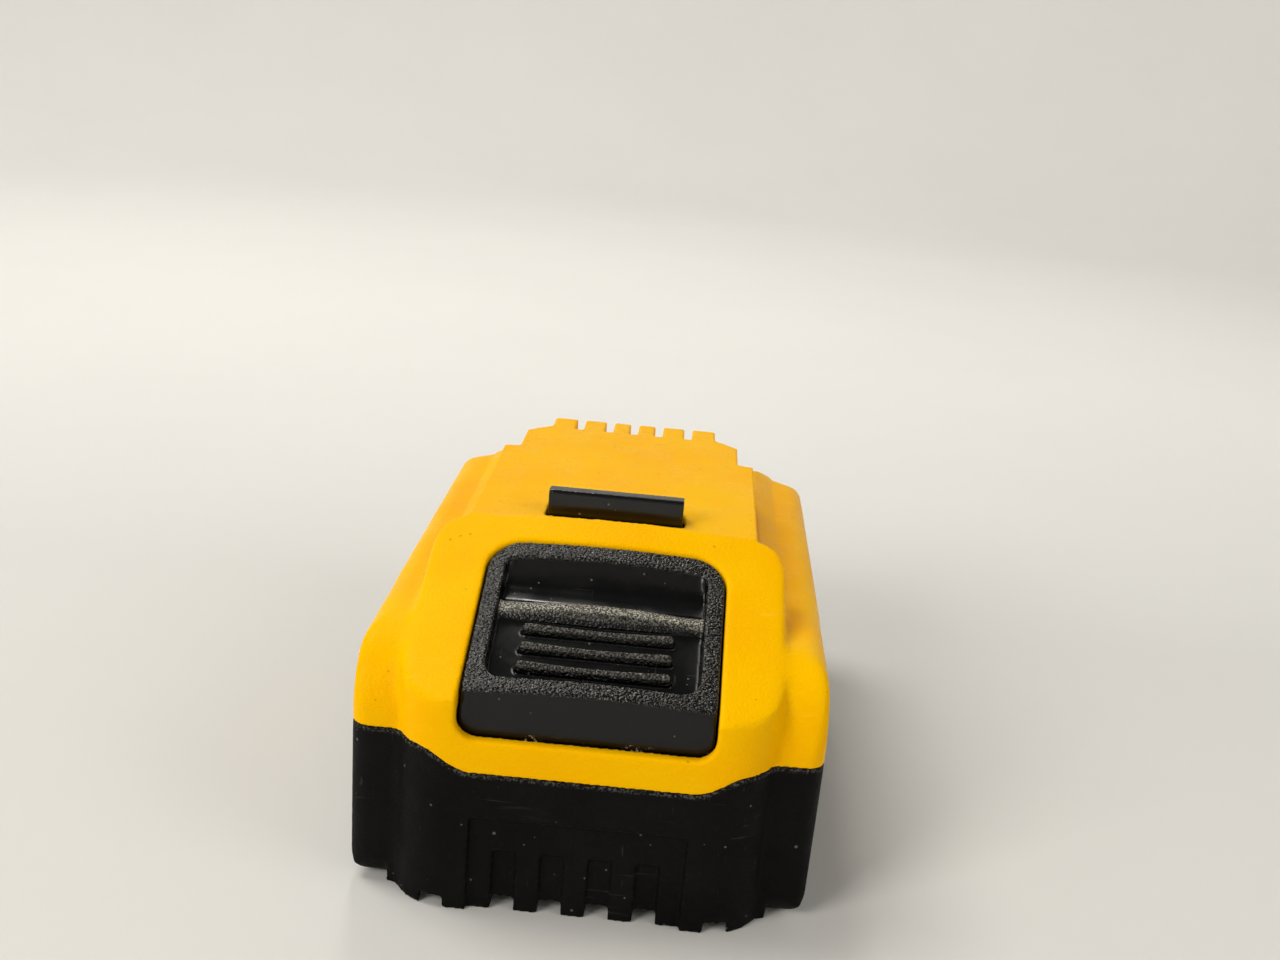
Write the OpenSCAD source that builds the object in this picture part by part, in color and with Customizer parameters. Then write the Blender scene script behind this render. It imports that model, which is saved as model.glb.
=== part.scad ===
// Slide-on battery pack for a cordless tool, as an assembly of its separate pieces.
// X runs across the pack, Y from the release button at the front to the terminals at the rear.
// Z is up from the table, and the origin is the middle of the base.

/* [Cells] */
// Diameter of one cell with its wrap
cell_d = 18.4; // [18:0.1:18.8]
// Length of one cell over its positive button
cell_len = 65; // [63:0.5:70]
// Gap between neighbouring cells
cell_gap = 0.5; // [0.4:0.1:0.8]
// Diameter of the positive button
button_d = 6.4; // [5:0.2:8]
// Height of the positive button
button_h = 0.6; // [0.5:0.1:1]
// Thickness of the insulating ring on the positive end
ring_t = 0.3; // [0.2:0.1:0.4]
// Thickness of the nickel straps
strap_t = 0.3; // [0.2:0.1:0.5]
// Width of the nickel straps
strap_w = 7; // [5:0.5:8]
// Width of the straps' tabs
strap_tab_w = 4; // [3:0.1:5]
// Thickness of the insulating sheets over the straps
sheet_t = 0.3; // [0.2:0.1:0.5]

/* [Cell holders] */
// Depth of each cell holder along the cells
holder_depth = 10; // [8:0.5:11]
// Least plastic around the outermost bores
holder_rim = 0.8; // [0.6:0.1:1.2]
// Least plastic under the lower bores
holder_base = 0.5; // [0.4:0.1:1]
// Radial play of a cell in its bore
bore_gap = 0.075; // [0.05:0.025:0.15]
// Thickness of the foam pads on the holders
pad_t = 1; // [0.8:0.1:2]
// Gap between the foam pads and the shoulders' inner face
pad_gap = 0.2; // [0.1:0.1:0.5]
// Width of the foam pads
pad_w = 3; // [2:0.1:3.2]
// Length of the foam pads
pad_l = 8; // [6:0.5:9]

/* [Housing] */
// Thickness of both shells
wall = 2; // [1.8:0.1:2.2]
// Room between a cell's end and the side wall
side_room = 3.5; // [3.4:0.1:5]
// Gap between the cell holders and the end walls
end_gap = 0.4; // [0.2:0.1:1]
// How far the cowl stands ahead of the corner columns
cowl_step = 6; // [5.5:0.1:7]
// Plan radius of the corner columns
corner_r = 3.2; // [2.6:0.2:4]
// Plan radius of the rear corners
rear_r = 6.5; // [5:0.5:7]
// Radius of the edge along each shoulder
shoulder_r = 4; // [3:0.5:5]
// Radius over the front of the corner columns
column_r = 14; // [12:0.5:14.5]
// Radius of the lower outer edge
foot_r = 5; // [3:0.5:5.5]
// Draft of the side walls in degrees
draft = 0.8; // [0:0.1:1.2]
// Height of the parting line at the corners
part_h = 28.2; // [27.5:0.1:29]
// Drop of the parting line at the front
part_dip = 3.3; // [2:0.1:3.4]
// Half width of the dip's level stretch
dip_level = 17.6; // [16:0.2:19]
// Half width over the dip's slopes
dip_foot = 26; // [24:0.2:27]
// Height of the foot ribs
foot_h = 2; // [1.6:0.1:3]
// Thickness of the floor
floor_t = 1.6; // [1.4:0.1:2.2]
// Distance between neighbouring foot ribs
rib_pitch = 7.7; // [7:0.1:8.5]
// Width of one foot rib
rib_w = 3.9; // [3:0.1:5]
// How far the foot ribs reach in under the base
rib_reach = 9; // [8:0.5:11]
// Depth of the panel on the lower front
panel_depth = 1; // [0.6:0.1:1.2]
// Depth of the pockets between the panel's ribs
pocket_depth = 0.9; // [0.6:0.1:1.2]
// Height of the panel's upper edge
panel_h = 17; // [14:0.5:19]
// Height of the pockets between the ribs
pocket_h = 11; // [8:0.5:13]
// Length of one snap tab
tab_l = 10; // [8:0.5:12]
// Thickness of the snap tabs
tab_t = 1.3; // [1:0.1:1.5]
// How far the snap tabs hang below the parting line
tab_drop = 6; // [5:0.1:7]
// Reach of a snap tab's hook into the wall
tab_hook = 0.8; // [0.6:0.1:1]
// Gap around the snap tabs
tab_gap = 0.2; // [0.15:0.05:0.3]

/* [Slide deck] */
// Width over the two rails
rail_w = 50.4; // [49:0.2:51.6]
// Width of the deck's rear stretch
rail_rear_w = 44.2; // [43.4:0.2:46]
// Depth of the groove under each rail
rail_undercut = 4.2; // [3.8:0.1:5]
// Height of the groove under each rail
rail_gap = 4.6; // [4.4:0.1:5.5]
// Thickness of the rails
rail_t = 3.8; // [3.4:0.1:4.5]
// Rise of the groove floor above the shoulders
groove_rise = 2.6; // [2.4:0.1:3.5]
// Gap between the battery board and the band over it
board_edge = 0.7; // [0.5:0.1:1]
// Width of the slopes beside that band
band_slope = 4; // [3:0.1:5]
// Length of the wide rails
rail_l = 44; // [42:0.5:46]
// Length of the deck's rear stretch
rear_l = 13; // [11:0.5:14]
// Length of the slanting shoulders before the comb
slant_l = 5; // [4:0.5:6]
// Length of the terminal comb
comb_l = 6.8; // [5:0.2:7.6]
// Width of the terminal comb
comb_w = 34.8; // [34:0.2:37]
// Width of one terminal slot
slot_w = 1.7; // [1.4:0.1:2]
// Distance from the middle slot to the next ones
slot_inner = 5.3; // [5:0.1:5.6]
// Distance from the middle slot to the outer ones
slot_outer = 11.6; // [11:0.1:12]

/* [Cowl] */
// Width of the cowl on each side of its window
cowl_side = 10.2; // [9.8:0.1:10.8]
// Plan radius of the cowl's front corners
cowl_r = 9.5; // [8:0.5:10]
// Plan radius of the cowl's rear corners
cowl_rear_r = 6; // [4:0.5:8]
// Radius of the valleys beside the cowl
valley_r = 2.5; // [1.5:0.5:3]
// Distance from the front face back to the ridge
ridge_back = 40; // [39:0.5:41]
// Height of the ridge above the deck
ridge_rise = 1.2; // [0.8:0.1:1.6]
// Slope of the cowl's top in degrees
cowl_slope = 23.3; // [22.5:0.1:24]
// Radius of the crown across the cowl's top
crown_r = 260; // [200:10:500]
// Width of the button window
window_w = 40.6; // [40:0.2:41]
// Distance from the ridge forward to the window's rear edge
window_ahead = 6; // [5.5:0.1:7]
// Plan radius of the window's rear corners
window_r = 6; // [5:0.5:8]
// Height of the lip under the window above the parting line
lip_h = 5.7; // [5:0.1:6.4]
// Radius of the window's lower corners
lip_r = 3.2; // [2:0.2:4]
// Thickness of the skirts beside the window
skirt_t = 2.2; // [1.6:0.1:2.4]
// Height of the skirts' lower edge above the lip
skirt_rise = 4; // [3.6:0.1:4.4]

/* [Release latch] */
// Gap around the button in its window
latch_gap = 0.35; // [0.3:0.05:0.5]
// Wall of the latch
latch_wall = 1.6; // [1.4:0.1:2]
// How far the latch's front reaches down behind the lip
apron_drop = 2.6; // [2.2:0.1:2.8]
// Height of the flanges that stop the latch from lifting out
flange_h = 1.6; // [1.4:0.1:1.8]
// Gap between those flanges and the skirts
flange_gap = 0.3; // [0.2:0.1:0.4]
// Height of the arm that carries the tongue
arm_h = 3.6; // [3:0.1:3.8]
// Width of that arm
arm_w = 20; // [16:0.5:22]
// Reach of the wings beside the tongue, under the deck
wing_reach = 3; // [2:0.1:3.2]
// Play of the tongue in its slot and of the arm under the deck
slot_play = 0.4; // [0.3:0.05:0.5]
// Skin under the thumb scoop
latch_skin = 1.3; // [1.1:0.1:1.5]
// Gap between the pressed latch and the cells
latch_room = 0.5; // [0.4:0.1:0.8]
// Depth of the button's face below the cowl's face
face_sink = 0.25; // [0.1:0.05:0.5]
// Width of the locking tongue
tongue_w = 23.8; // [22:0.2:25]
// Height of the tongue above the deck
tongue_rise = 4.5; // [4:0.1:4.8]
// Length of the tongue's level top
tongue_top = 2.8; // [2:0.1:3.2]
// Length of the tongue at the deck
tongue_l = 6.4; // [5.5:0.1:7]
// Distance from the ridge back to the tongue's front face
tongue_back = 2.8; // [2.4:0.1:3.2]
// How far the pressed tongue lies below the deck
tongue_sink = 0.2; // [0.1:0.1:0.4]
// Rim on each side of the scoop
rim_side = 2.95; // [2.5:0.05:3.5]
// Depth of the scoop's ribbed floor
scoop_depth = 1.6; // [1.4:0.1:1.8]
// Rim in front of the scoop
scoop_front = 3; // [2.5:0.1:4]
// Rim behind the scoop
scoop_rear = 2.65; // [2.4:0.05:3.2]
// Radius of the crest across the scoop
crest_r = 3; // [2.5:0.1:3.5]
// Height of the crest above the scoop's bottom
crest_rise = 0.9; // [0.5:0.1:1]
// Radius of the crest's arch from side to side
crest_arch = 120; // [100:5:200]
// Number of grip ribs
grip_ribs = 3; // [2:1:3]
// Length of one grip rib
grip_l = 25; // [20:0.5:28]
// Radius of one grip rib
grip_r = 0.9; // [0.7:0.1:1]
// Distance between grip ribs
grip_pitch = 3.8; // [3.4:0.1:4.2]

/* [Latch springs] */
// Mean coil diameter
spring_d = 5.4; // [5:0.1:6.2]
// Wire diameter
wire_d = 0.7; // [0.5:0.1:0.8]
// Turns in each spring
spring_turns = 7; // [6:1:8]
// Distance of each spring from the middle
spring_x = 11.5; // [10:0.5:12.5]
// Distance of the springs behind the front face
spring_back = 12; // [11.5:0.1:13]
// Height of the pins inside the springs
pin_h = 3; // [2:0.1:3.2]
// Gap between a pin and its spring
pin_gap = 0.4; // [0.3:0.1:0.6]
// Gap left at each end of a spring
seat_gap = 0.1; // [0.05:0.05:0.2]
// Thickness of the guide plate
guide_t = 1.6; // [1.4:0.1:2]
// Gap between the guide plate and the latch's front
guide_play = 0.6; // [0.5:0.1:0.8]
// Gap between the guide plate and the cell under it
guide_gap = 0.8; // [0.5:0.1:1.2]

/* [Screws] */
// Diameter of the housing screws
screw_d = 2.9; // [2.6:0.1:3]
// Diameter of their heads
head_d = 5.6; // [5:0.1:5.8]
// Height of their heads
head_h = 2.2; // [1.8:0.1:2.6]
// Outer radius of the screw bosses
boss_r = 3.2; // [3:0.1:3.3]
// Play around screws and in counterbores
screw_gap = 0.15; // [0.1:0.05:0.2]
// Gap between a boss and the pieces beside it
boss_gap = 0.3; // [0.2:0.05:0.4]
// Depth of the screws in the upper bosses
screw_grip = 9; // [7:0.5:10]
// Height of the screw heads' seats above the foot ribs
head_seat = 4; // [3:0.1:6]

/* [Battery board] */
// Length of the board
board_l = 51; // [48:0.5:52]
// Thickness of both boards
board_t = 1.6; // [1:0.1:1.8]
// Height of the holder posts under the board
board_post = 0.8; // [0.6:0.1:1]
// Radius of those posts
post_r = 1.1; // [1:0.1:1.2]
// How far the board runs back under the comb
board_past = 3; // [2:0.1:4]
// Diameter of the board's screws
board_screw_d = 1.2; // [1:0.1:1.3]
// Diameter of their heads
board_head_d = 2.8; // [2.4:0.1:3]
// Width of the two switching transistors
driver_w = 10; // [8:0.5:11]
// Length of those transistors
driver_l = 9; // [7:0.5:10]
// Height of those transistors
driver_h = 2.3; // [1.6:0.1:2.5]
// Width of the controller chip
chip_w = 7; // [5:0.5:8]
// Height of the controller chip
chip_h = 1.2; // [0.8:0.1:1.6]
// Length of the fuse
fuse_l = 6; // [5:0.5:7]
// Width and height of the capacitors
cap_w = 3.6; // [3:0.1:4]
// Height of the terminal block
block_h = 9; // [8:0.1:9.2]
// Length of the terminal block
block_l = 14; // [12:0.5:15]
// Thickness of a terminal's blades
blade_t = 0.7; // [0.5:0.1:0.8]
// Width over a terminal's two blades
clip_w = 3.2; // [3:0.1:3.4]
// Height of the terminals
clip_h = 7.2; // [6.5:0.1:7.4]
// Gap around the terminals and behind their block
clip_gap = 0.3; // [0.2:0.05:0.4]

/* [Charge gauge] */
// Height of the gauge above the inside floor
gauge_rise = 9; // [8.5:0.1:10]
// Radius of the gauge button
gauge_r = 4; // [3.5:0.1:4.2]
// Travel of the gauge button
gauge_travel = 0.8; // [0.5:0.1:0.8]
// Distance of the gauge button from the middle
gauge_x = 10; // [9.5:0.1:11]
// Width of the lens
lens_w = 17; // [15:0.2:17.6]
// Height of the lens
lens_h = 4; // [3:0.1:4.4]
// Distance of the lens from the middle
lens_x = 5; // [4.4:0.1:6]
// Gap around the gauge button and the lens
gauge_gap = 0.3; // [0.25:0.05:0.4]
// Distance of the gauge board from the rear wall
gauge_depth = 6; // [5.6:0.1:6.2]
// Width of the gauge board
gauge_board_w = 34; // [32:0.5:36]
// Height of the gauge board
gauge_board_h = 15; // [14:0.5:15.5]
// Width of the small push switch
switch_w = 4.4; // [4:0.1:5]
// Height of its case
switch_h = 1.4; // [1.2:0.1:1.5]
// Height of its plunger
plunger_h = 0.5; // [0.4:0.1:0.6]
// Distance between the lamps
lamp_pitch = 5.4; // [5:0.1:5.8]
// Width of one lamp
lamp_w = 2; // [1.6:0.1:2.4]
// Height of one lamp above the board
lamp_h = 1; // [0.8:0.1:1.2]
// Reach of the flanges behind the rear wall
flange_reach = 1; // [0.8:0.1:1.1]
// Thickness of those flanges
flange_t = 0.9; // [0.7:0.1:1]
// Width of the flat ribbon
ribbon_w = 8; // [6:0.5:10]
// Thickness of the flat ribbon
ribbon_t = 0.25; // [0.2:0.05:0.3]

/* [Hidden] */
$fn = 64;
// Overlap of shapes that join, and how far a cut runs past what it cuts
lap = 0.1;
past = 1;
// Thickness of the band's slopes as a share of the wall
band_skin = 0.8;
// Cells in one row
row_cells = 5;
pitch = cell_d + cell_gap;
row_rise = pitch * sin(60);
bore_r = cell_d / 2 + bore_gap;

// Heights, from the table up
floor_z = foot_h + floor_t;
lower_z = floor_z + holder_base + bore_r;
upper_z = lower_z + row_rise;
cell_top = upper_z + cell_d / 2;
holder_top = upper_z + bore_r + holder_rim;
ceiling_z = holder_top + pad_t + pad_gap;
shoulder_h = ceiling_z + wall;
groove_z = shoulder_h + groove_rise;
rail_z = groove_z + rail_gap;
deck_h = rail_z + rail_t;
ridge_h = deck_h + ridge_rise;
travel = tongue_rise + tongue_sink;
tongue_h = deck_h + tongue_rise;
guide_z = lower_z + cell_d / 2 + guide_gap;
spring_z = guide_z + guide_t;
lip_z = part_h - part_dip + lip_h;
scoop_z = cell_top + latch_room + travel + latch_skin;
board_z = holder_top + board_post;
board_top = board_z + board_t;

// Widths and lengths
holder_l = (row_cells - 1) * pitch + pitch / 2 + 2 * (bore_r + holder_rim);
pack_w = cell_len + 2 * (side_room + wall);
pack_l = cowl_step + 2 * (wall + end_gap) + holder_l;
x_out = pack_w / 2;
x_cell = cell_len / 2;
y_front = -pack_l / 2;
y_rear = pack_l / 2;
y_col = y_front + cowl_step;
y_in = y_rear - wall;
holder_front = y_col + wall + end_gap;
holder_rear = y_in - end_gap;
ridge_y = y_front + ridge_back;
rail_end = ridge_y + rail_l;
slant_y = rail_end + rear_l;
comb_y = slant_y + slant_l;
comb_end = comb_y + comb_l;
neck_w = rail_w - 2 * rail_undercut;
cowl_w = window_w + 2 * cowl_side;
window_y = ridge_y - window_ahead;
dip_steps = 8;
slot_xs = [-slot_outer, -slot_inner, 0, slot_inner, slot_outer];

// Release latch
face_y = y_front + wall + latch_gap;
latch_y = window_y - latch_gap;
latch_w = window_w - 2 * latch_gap;
scoop_w = latch_w - 2 * rim_side;
scoop_y0 = face_y + scoop_front;
scoop_y1 = latch_y - scoop_rear;
tongue_y = ridge_y + tongue_back;
crest_y = ridge_y + (scoop_z + scoop_depth - ridge_h) / tan(cowl_slope);
skirt_z = lip_z + skirt_rise;
flange_z = skirt_z - flange_gap - flange_h;
apron_z = lip_z - apron_drop;
clear_y = upper_y(0) - cell_d / 2 - latch_room;
clear_z = cell_top + latch_room + travel;
arm_top = rail_z - slot_play;
wing_w = tongue_w + 2 * wing_reach;

// Screws and guide
boss_y = holder_front - boss_gap - boss_r;
boss_x = window_w / 2 + boss_gap + boss_r;
head_z = foot_h + head_seat;
screw_top = spring_z + screw_grip;
boss_top = screw_top + wall;
spring_y = y_front + spring_back;
seat_r = spring_d / 2 + wire_d;
seat_z = cowl_z(spring_y - seat_r) - scoop_depth - latch_skin;
pin_d = spring_d - wire_d - 2 * pin_gap;

// Boards
post_x = x_cell - holder_depth + post_r;
board_w = 2 * (post_x + post_r);
band_w = board_w + 2 * (band_skin * wall + board_edge);
band_foot_w = band_w + 2 * band_slope;
board_y1 = comb_y + board_past;
board_y0 = board_y1 - board_l;
gauge_z = floor_z + gauge_rise;
gauge_board_y = y_in - gauge_depth;
gauge_face = gauge_board_y + board_t;
stem_r = gauge_r / 4;

// Colours
yellow = [0.98, 0.69, 0.02];
black = [0.06, 0.06, 0.065];
grey = [0.35, 0.36, 0.38];
steel = [0.7, 0.71, 0.73];
brass = [0.8, 0.66, 0.35];
green = [0.05, 0.3, 0.16];

// Places of the cells, from the front to the rear
function upper_y(k) = holder_rear - holder_rim - bore_r - (row_cells - 1 - k) * pitch;
function lower_y(k) = upper_y(k) - pitch / 2;
function cell_place(n) =
  n <= row_cells ? [lower_y(n - 1), lower_z] : [upper_y(n - row_cells - 1), upper_z];

// Side of a cell's positive end: the parallel pairs alternate along the pack
function positive_side(n) = ((n - 1) % row_cells) % 2 == 0 ? -1 : 1;

// Height of the cowl's top over the middle line
function cowl_z(y) = ridge_h + (y - ridge_y) * tan(cowl_slope);

// A Y-Z outline carried across the pack
module across(w) {
  rotate([90, 0, 90]) translate([0, 0, -w / 2]) linear_extrude(w) children();
}

// An X-Z outline carried along the pack
module along(y0, y1) {
  translate([0, y1, 0]) rotate([90, 0, 0]) linear_extrude(y1 - y0) children();
}

// A block between two corners
module block(a, b) {
  translate(a) cube(b - a);
}

// A 2-D rectangle between two corners
module block_2d(a, b) {
  translate(a) square(b - a);
}

// Both sides of the pack
module both() {
  children();
  mirror([1, 0, 0]) children();
}

// A rectangle with round corners
module rounded(x0, x1, y0, y1, r) {
  translate([x0 + r, y0]) square([x1 - x0 - 2 * r, y1 - y0]);
  translate([x0, y0 + r]) square([x1 - x0, y1 - y0 - 2 * r]);
  for (x = [x0 + r, x1 - r], y = [y0 + r, y1 - r]) translate([x, y]) circle(r);
}

// A straight bar between two points
module bar(p, q, w) {
  d = q - p;
  translate(p) rotate(atan2(d[1], d[0])) translate([0, -w / 2]) square([norm(d), w]);
}

// A plan outline with one radius at the front corners and another at the rear
module plan(half, front, back, r0, r1) {
  translate([-half, front + r0]) square([2 * half, back - r1 - front - r0]);
  translate([-half + r0, front]) square([2 * (half - r0), r0 + r1]);
  translate([-half + r1, back - r0 - r1]) square([2 * (half - r1), r0 + r1]);
  both() translate([half - r0, front + r0]) circle(r0);
  both() translate([half - r1, back - r1]) circle(r1);
}

// Plan of the main body
module body_plan(inset) {
  plan(x_out - inset, y_col + inset, y_rear - inset, corner_r - inset, rear_r - inset);
}

// Plan of the cowl
module cowl_plan(inset) {
  plan(cowl_w / 2 - inset, y_front + inset, ridge_y - inset, cowl_r - inset, cowl_rear_r - inset);
}

// Concave corner between the cowl and a corner column
module valley_plan() {
  corner = [cowl_w / 2 - cowl_r, y_front + cowl_r];
  fillet_y = y_col - valley_r;
  reach = cowl_r + valley_r;
  fillet = [corner[0] + sqrt(reach * reach - pow(fillet_y - corner[1], 2)), fillet_y];
  touch = corner + (fillet - corner) * cowl_r / reach;
  difference() {
    polygon([touch, fillet, [fillet[0], y_col + 0.5], [touch[0] - 1, y_col + 0.5]]);
    translate(fillet) circle(valley_r);
  }
}

// Cross section of the main body, drafted both ways from the parting line
module body_section(inset) {
  foot = x_out - inset - (part_h - foot_r) * tan(draft);
  top = x_out - inset - (shoulder_h - shoulder_r - part_h) * tan(draft);
  r = shoulder_r - inset;
  right = [
    [foot - foot_r, 0], [foot, foot_r], [x_out - inset, part_h],
    [top, shoulder_h - shoulder_r], [top - r, shoulder_h - inset]
  ];
  both() {
    polygon(concat([[-1, 0]], right, [[-1, shoulder_h - inset]]));
    translate([foot - foot_r, foot_r]) circle(foot_r);
    translate([top - r, shoulder_h - shoulder_r]) circle(r);
  }
}

// Side view of the main body
module body_side(inset) {
  front = y_col + inset;
  back = y_rear - inset;
  top = shoulder_h - inset;
  polygon([
    [front + foot_r, 0], [back - foot_r, 0], [back, foot_r],
    [back, shoulder_h - shoulder_r], [y_rear - shoulder_r, top],
    [y_col + column_r, top], [front, shoulder_h - column_r], [front, foot_r]
  ]);
  for (y = [front + foot_r, back - foot_r]) translate([y, foot_r]) circle(foot_r);
  translate([y_rear - shoulder_r, shoulder_h - shoulder_r]) circle(shoulder_r - inset);
  translate([y_col + column_r, shoulder_h - column_r]) circle(column_r - inset);
}

// Rounding over one corner, seen along a line turned from straight ahead
module corner_round(turn, end_y, plan_r, r, inset) {
  across_turn = abs(sin(turn)) * (x_out - plan_r) + abs(cos(turn)) * (abs(end_y) - plan_r);
  front = -across_turn - plan_r + inset;
  rotate([0, 0, turn]) across(2 * pack_l) {
    translate([front + r - inset, shoulder_h - r]) circle(r - inset);
    block_2d([front, -1], [pack_l, shoulder_h - r]);
    block_2d([front + r - inset, -1], [pack_l, shoulder_h - inset]);
  }
}

// Main body as one closed form
module body_form(inset) {
  side_turn = 60;
  front_turn = 30;
  intersection() {
    linear_extrude(shoulder_h - inset) body_plan(inset);
    along(y_col, y_rear) body_section(inset);
    across(pack_w) body_side(inset);
    corner_round(front_turn, y_col, corner_r, column_r - 2, inset);
    corner_round(-front_turn, y_col, corner_r, column_r - 2, inset);
    corner_round(side_turn, y_col, corner_r, shoulder_r + 4, inset);
    corner_round(-side_turn, y_col, corner_r, shoulder_r + 4, inset);
    corner_round(135, y_rear, rear_r, shoulder_r + 1, inset);
    corner_round(-135, y_rear, rear_r, shoulder_r + 1, inset);
  }
}

// Everything under the cowl's crowned and sloping top, lowered by a depth
module under_cowl(depth) {
  reach = ridge_back + cowl_r;
  translate([0, ridge_y, ridge_h - depth]) rotate([cowl_slope, 0, 0])
    along(-2 * reach, reach) intersection() {
      translate([0, -crown_r]) circle(crown_r, $fn = 360);
      translate([-pack_w / 2, -2 * deck_h]) square([pack_w, 2 * deck_h]);
    }
}

// Cowl as one closed form
module cowl_form() {
  intersection() {
    linear_extrude(ridge_h + 1) cowl_plan(0);
    under_cowl(0);
  }
}

// Valleys beside the cowl, fading where the columns round over
module valley_form() {
  top = shoulder_h - column_r;
  intersection() {
    linear_extrude(shoulder_h) both() valley_plan();
    across(pack_w) polygon([
      [y_front, 0], [y_front, top - cowl_step], [y_col + 1, top + 1], [y_col + 1, 0]
    ]);
  }
}

// Raised band that carries the deck, round over the rear edge
module band_form(inset) {
  flat = band_w / 2 - inset * band_skin;
  foot = band_foot_w / 2 - inset * band_skin;
  top = groove_z - inset;
  low = shoulder_h - inset;
  back = y_rear - inset;
  r = shoulder_r + groove_rise - inset;
  intersection() {
    along(ridge_y - cowl_rear_r, back) polygon([
      [-foot, low - wall], [-foot, low], [-flat, top], [flat, top], [foot, low], [foot, low - wall]
    ]);
    across(pack_w) {
      polygon([
        [y_front, 0], [back, 0], [back, top - r], [back - r, top], [y_front, top]
      ]);
      translate([back - r, top - r]) circle(r);
    }
  }
}

// Deck with its wide rails, rear stretch, slanting shoulders and comb
module deck_form() {
  intersection() {
    translate([0, 0, rail_z]) linear_extrude(rail_t) both() polygon([
      [-1, ridge_y - wall], [rail_w / 2, ridge_y - wall], [rail_w / 2, rail_end],
      [rail_rear_w / 2, rail_end + 1], [rail_rear_w / 2, slant_y], [comb_w / 2, comb_y],
      [comb_w / 2, comb_end], [-1, comb_end]
    ]);
    union() {
      under_cowl(face_sink);
      block([-pack_w, ridge_y - 0.1, 0], [pack_w, y_rear, ridge_h]);
    }
  }
}

// Plan of the neck under the deck
module neck_plan(inset, end_y) {
  half = neck_w / 2 - inset;
  both() polygon([
    [-1, ridge_y - wall + inset], [half, ridge_y - wall + inset], [half, slant_y],
    [comb_w / 2 - inset, comb_y - inset], [comb_w / 2 - inset, end_y], [-1, end_y]
  ]);
}

// What lies clear inside the lower shell's cowl
module inside_cowl() {
  intersection() {
    children();
    linear_extrude(ridge_h) cowl_plan(wall + tab_gap);
  }
}

// Space below the parting line, which dips in front of the cowl
module below_parting() {
  difference() {
    block([-x_out - 1, y_front - 1, -1], [x_out + 1, y_rear + 1, part_h]);
    along(y_front - 2, y_col + corner_r) both() polygon(concat(
      [[-1, part_h + 1], [-1, part_h - part_dip]],
      [for (k = [0 : dip_steps]) [
        dip_level + (dip_foot - dip_level) * k / dip_steps,
        part_h - part_dip * (1 + cos(180 * k / dip_steps)) / 2
      ]],
      [[dip_foot, part_h + 1]]
    ));
  }
}

// Plan of the button window, shrunk by a gap
module window_plan(gap) {
  half = window_w / 2 - gap;
  r = window_r - gap;
  front = y_front + wall + gap;
  back = window_y - gap;
  translate([-half, front]) square([2 * half, back - r - front]);
  translate([-half + r, back - window_r]) square([2 * (half - r), window_r]);
  both() translate([half - r, back - r]) circle(r);
}

// Snap tabs that hook the two shells together along the sides
tab_ys = [lower_y(1), lower_y(4)];
module snap_tab(y, play) {
  outer = x_out - wall - tab_gap;
  inner = outer - tab_t - play;
  tip = outer + tab_hook + play;
  low = part_h - tab_drop;
  ramp = low + 2 * tab_hook;
  catch = ramp + tab_hook / 2 + play;
  root = outer + 3 * tab_gap;
  top = part_h + 3 * tab_t;
  along(y - tab_l / 2 - play, y + tab_l / 2 + play) polygon([
    [inner, low - play], [outer, low - play], [tip, ramp], [tip, catch], [outer, catch],
    [outer, part_h + tab_gap], [root, part_h + 4 * tab_gap], [root, top], [inner, top]
  ]);
}

// Hollow inside the top housing
module top_hollow() {
  body_form(wall);
  band_form(wall);
  intersection() {
    linear_extrude(deck_h - wall) cowl_plan(wall);
    under_cowl(wall / cos(cowl_slope));
  }
  translate([0, 0, part_h]) linear_extrude(deck_h - wall - part_h) neck_plan(wall, comb_y - slot_play);
  block(
    [-arm_w / 2 - past, latch_y - past, clear_z - travel],
    [arm_w / 2 + past, ridge_y + tongue_back, rail_z]
  );
}

module top_housing() {
  color(yellow) difference() {
    union() {
      difference() {
        union() {
          body_form(0);
          cowl_form();
          valley_form();
          band_form(0);
          translate([0, 0, part_h]) linear_extrude(rail_z - part_h) neck_plan(0, comb_end);
          deck_form();
        }
        top_hollow();
        below_parting();
      }
      // Skirts that guide the button down both sides of its window
      intersection() {
        cowl_form();
        both() {
          block([window_w / 2, face_y, skirt_z], [window_w / 2 + skirt_t, clear_y, ridge_h]);
          block(
            [window_w / 2, clear_y - past, cell_top + latch_room],
            [window_w / 2 + skirt_t, window_y, ridge_h]
          );
        }
      }
      both() translate([boss_x, boss_y, part_h]) cylinder(r = boss_r, h = boss_top - part_h);
      inside_cowl() both() translate([boss_x, boss_y, spring_z])
        cylinder(r = boss_r, h = boss_top - spring_z);
      for (y = tab_ys) both() snap_tab(y, 0);
    }
    // Button window: down through the cowl's top and out through the front above the lip
    translate([0, 0, apron_z]) linear_extrude(ridge_h) window_plan(0);
    along(y_front - past, y_front + wall + past)
      rounded(-window_w / 2, window_w / 2, lip_z, 2 * ridge_h, lip_r);
    // Slot for the locking tongue
    block(
      [-tongue_w / 2 - slot_play, tongue_y - slot_play, rail_z - past],
      [tongue_w / 2 + slot_play, tongue_y + tongue_l + slot_play, tongue_h]
    );
    for (x = slot_xs)
      block(
        [x - slot_w / 2, comb_y - past, groove_z + slot_w / 2],
        [x + slot_w / 2, comb_end + past, ridge_h]
      );
    both() translate([boss_x, boss_y, spring_z - past])
      cylinder(d = screw_d + screw_gap, h = screw_grip + 1.5 * past);
  }
}

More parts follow.
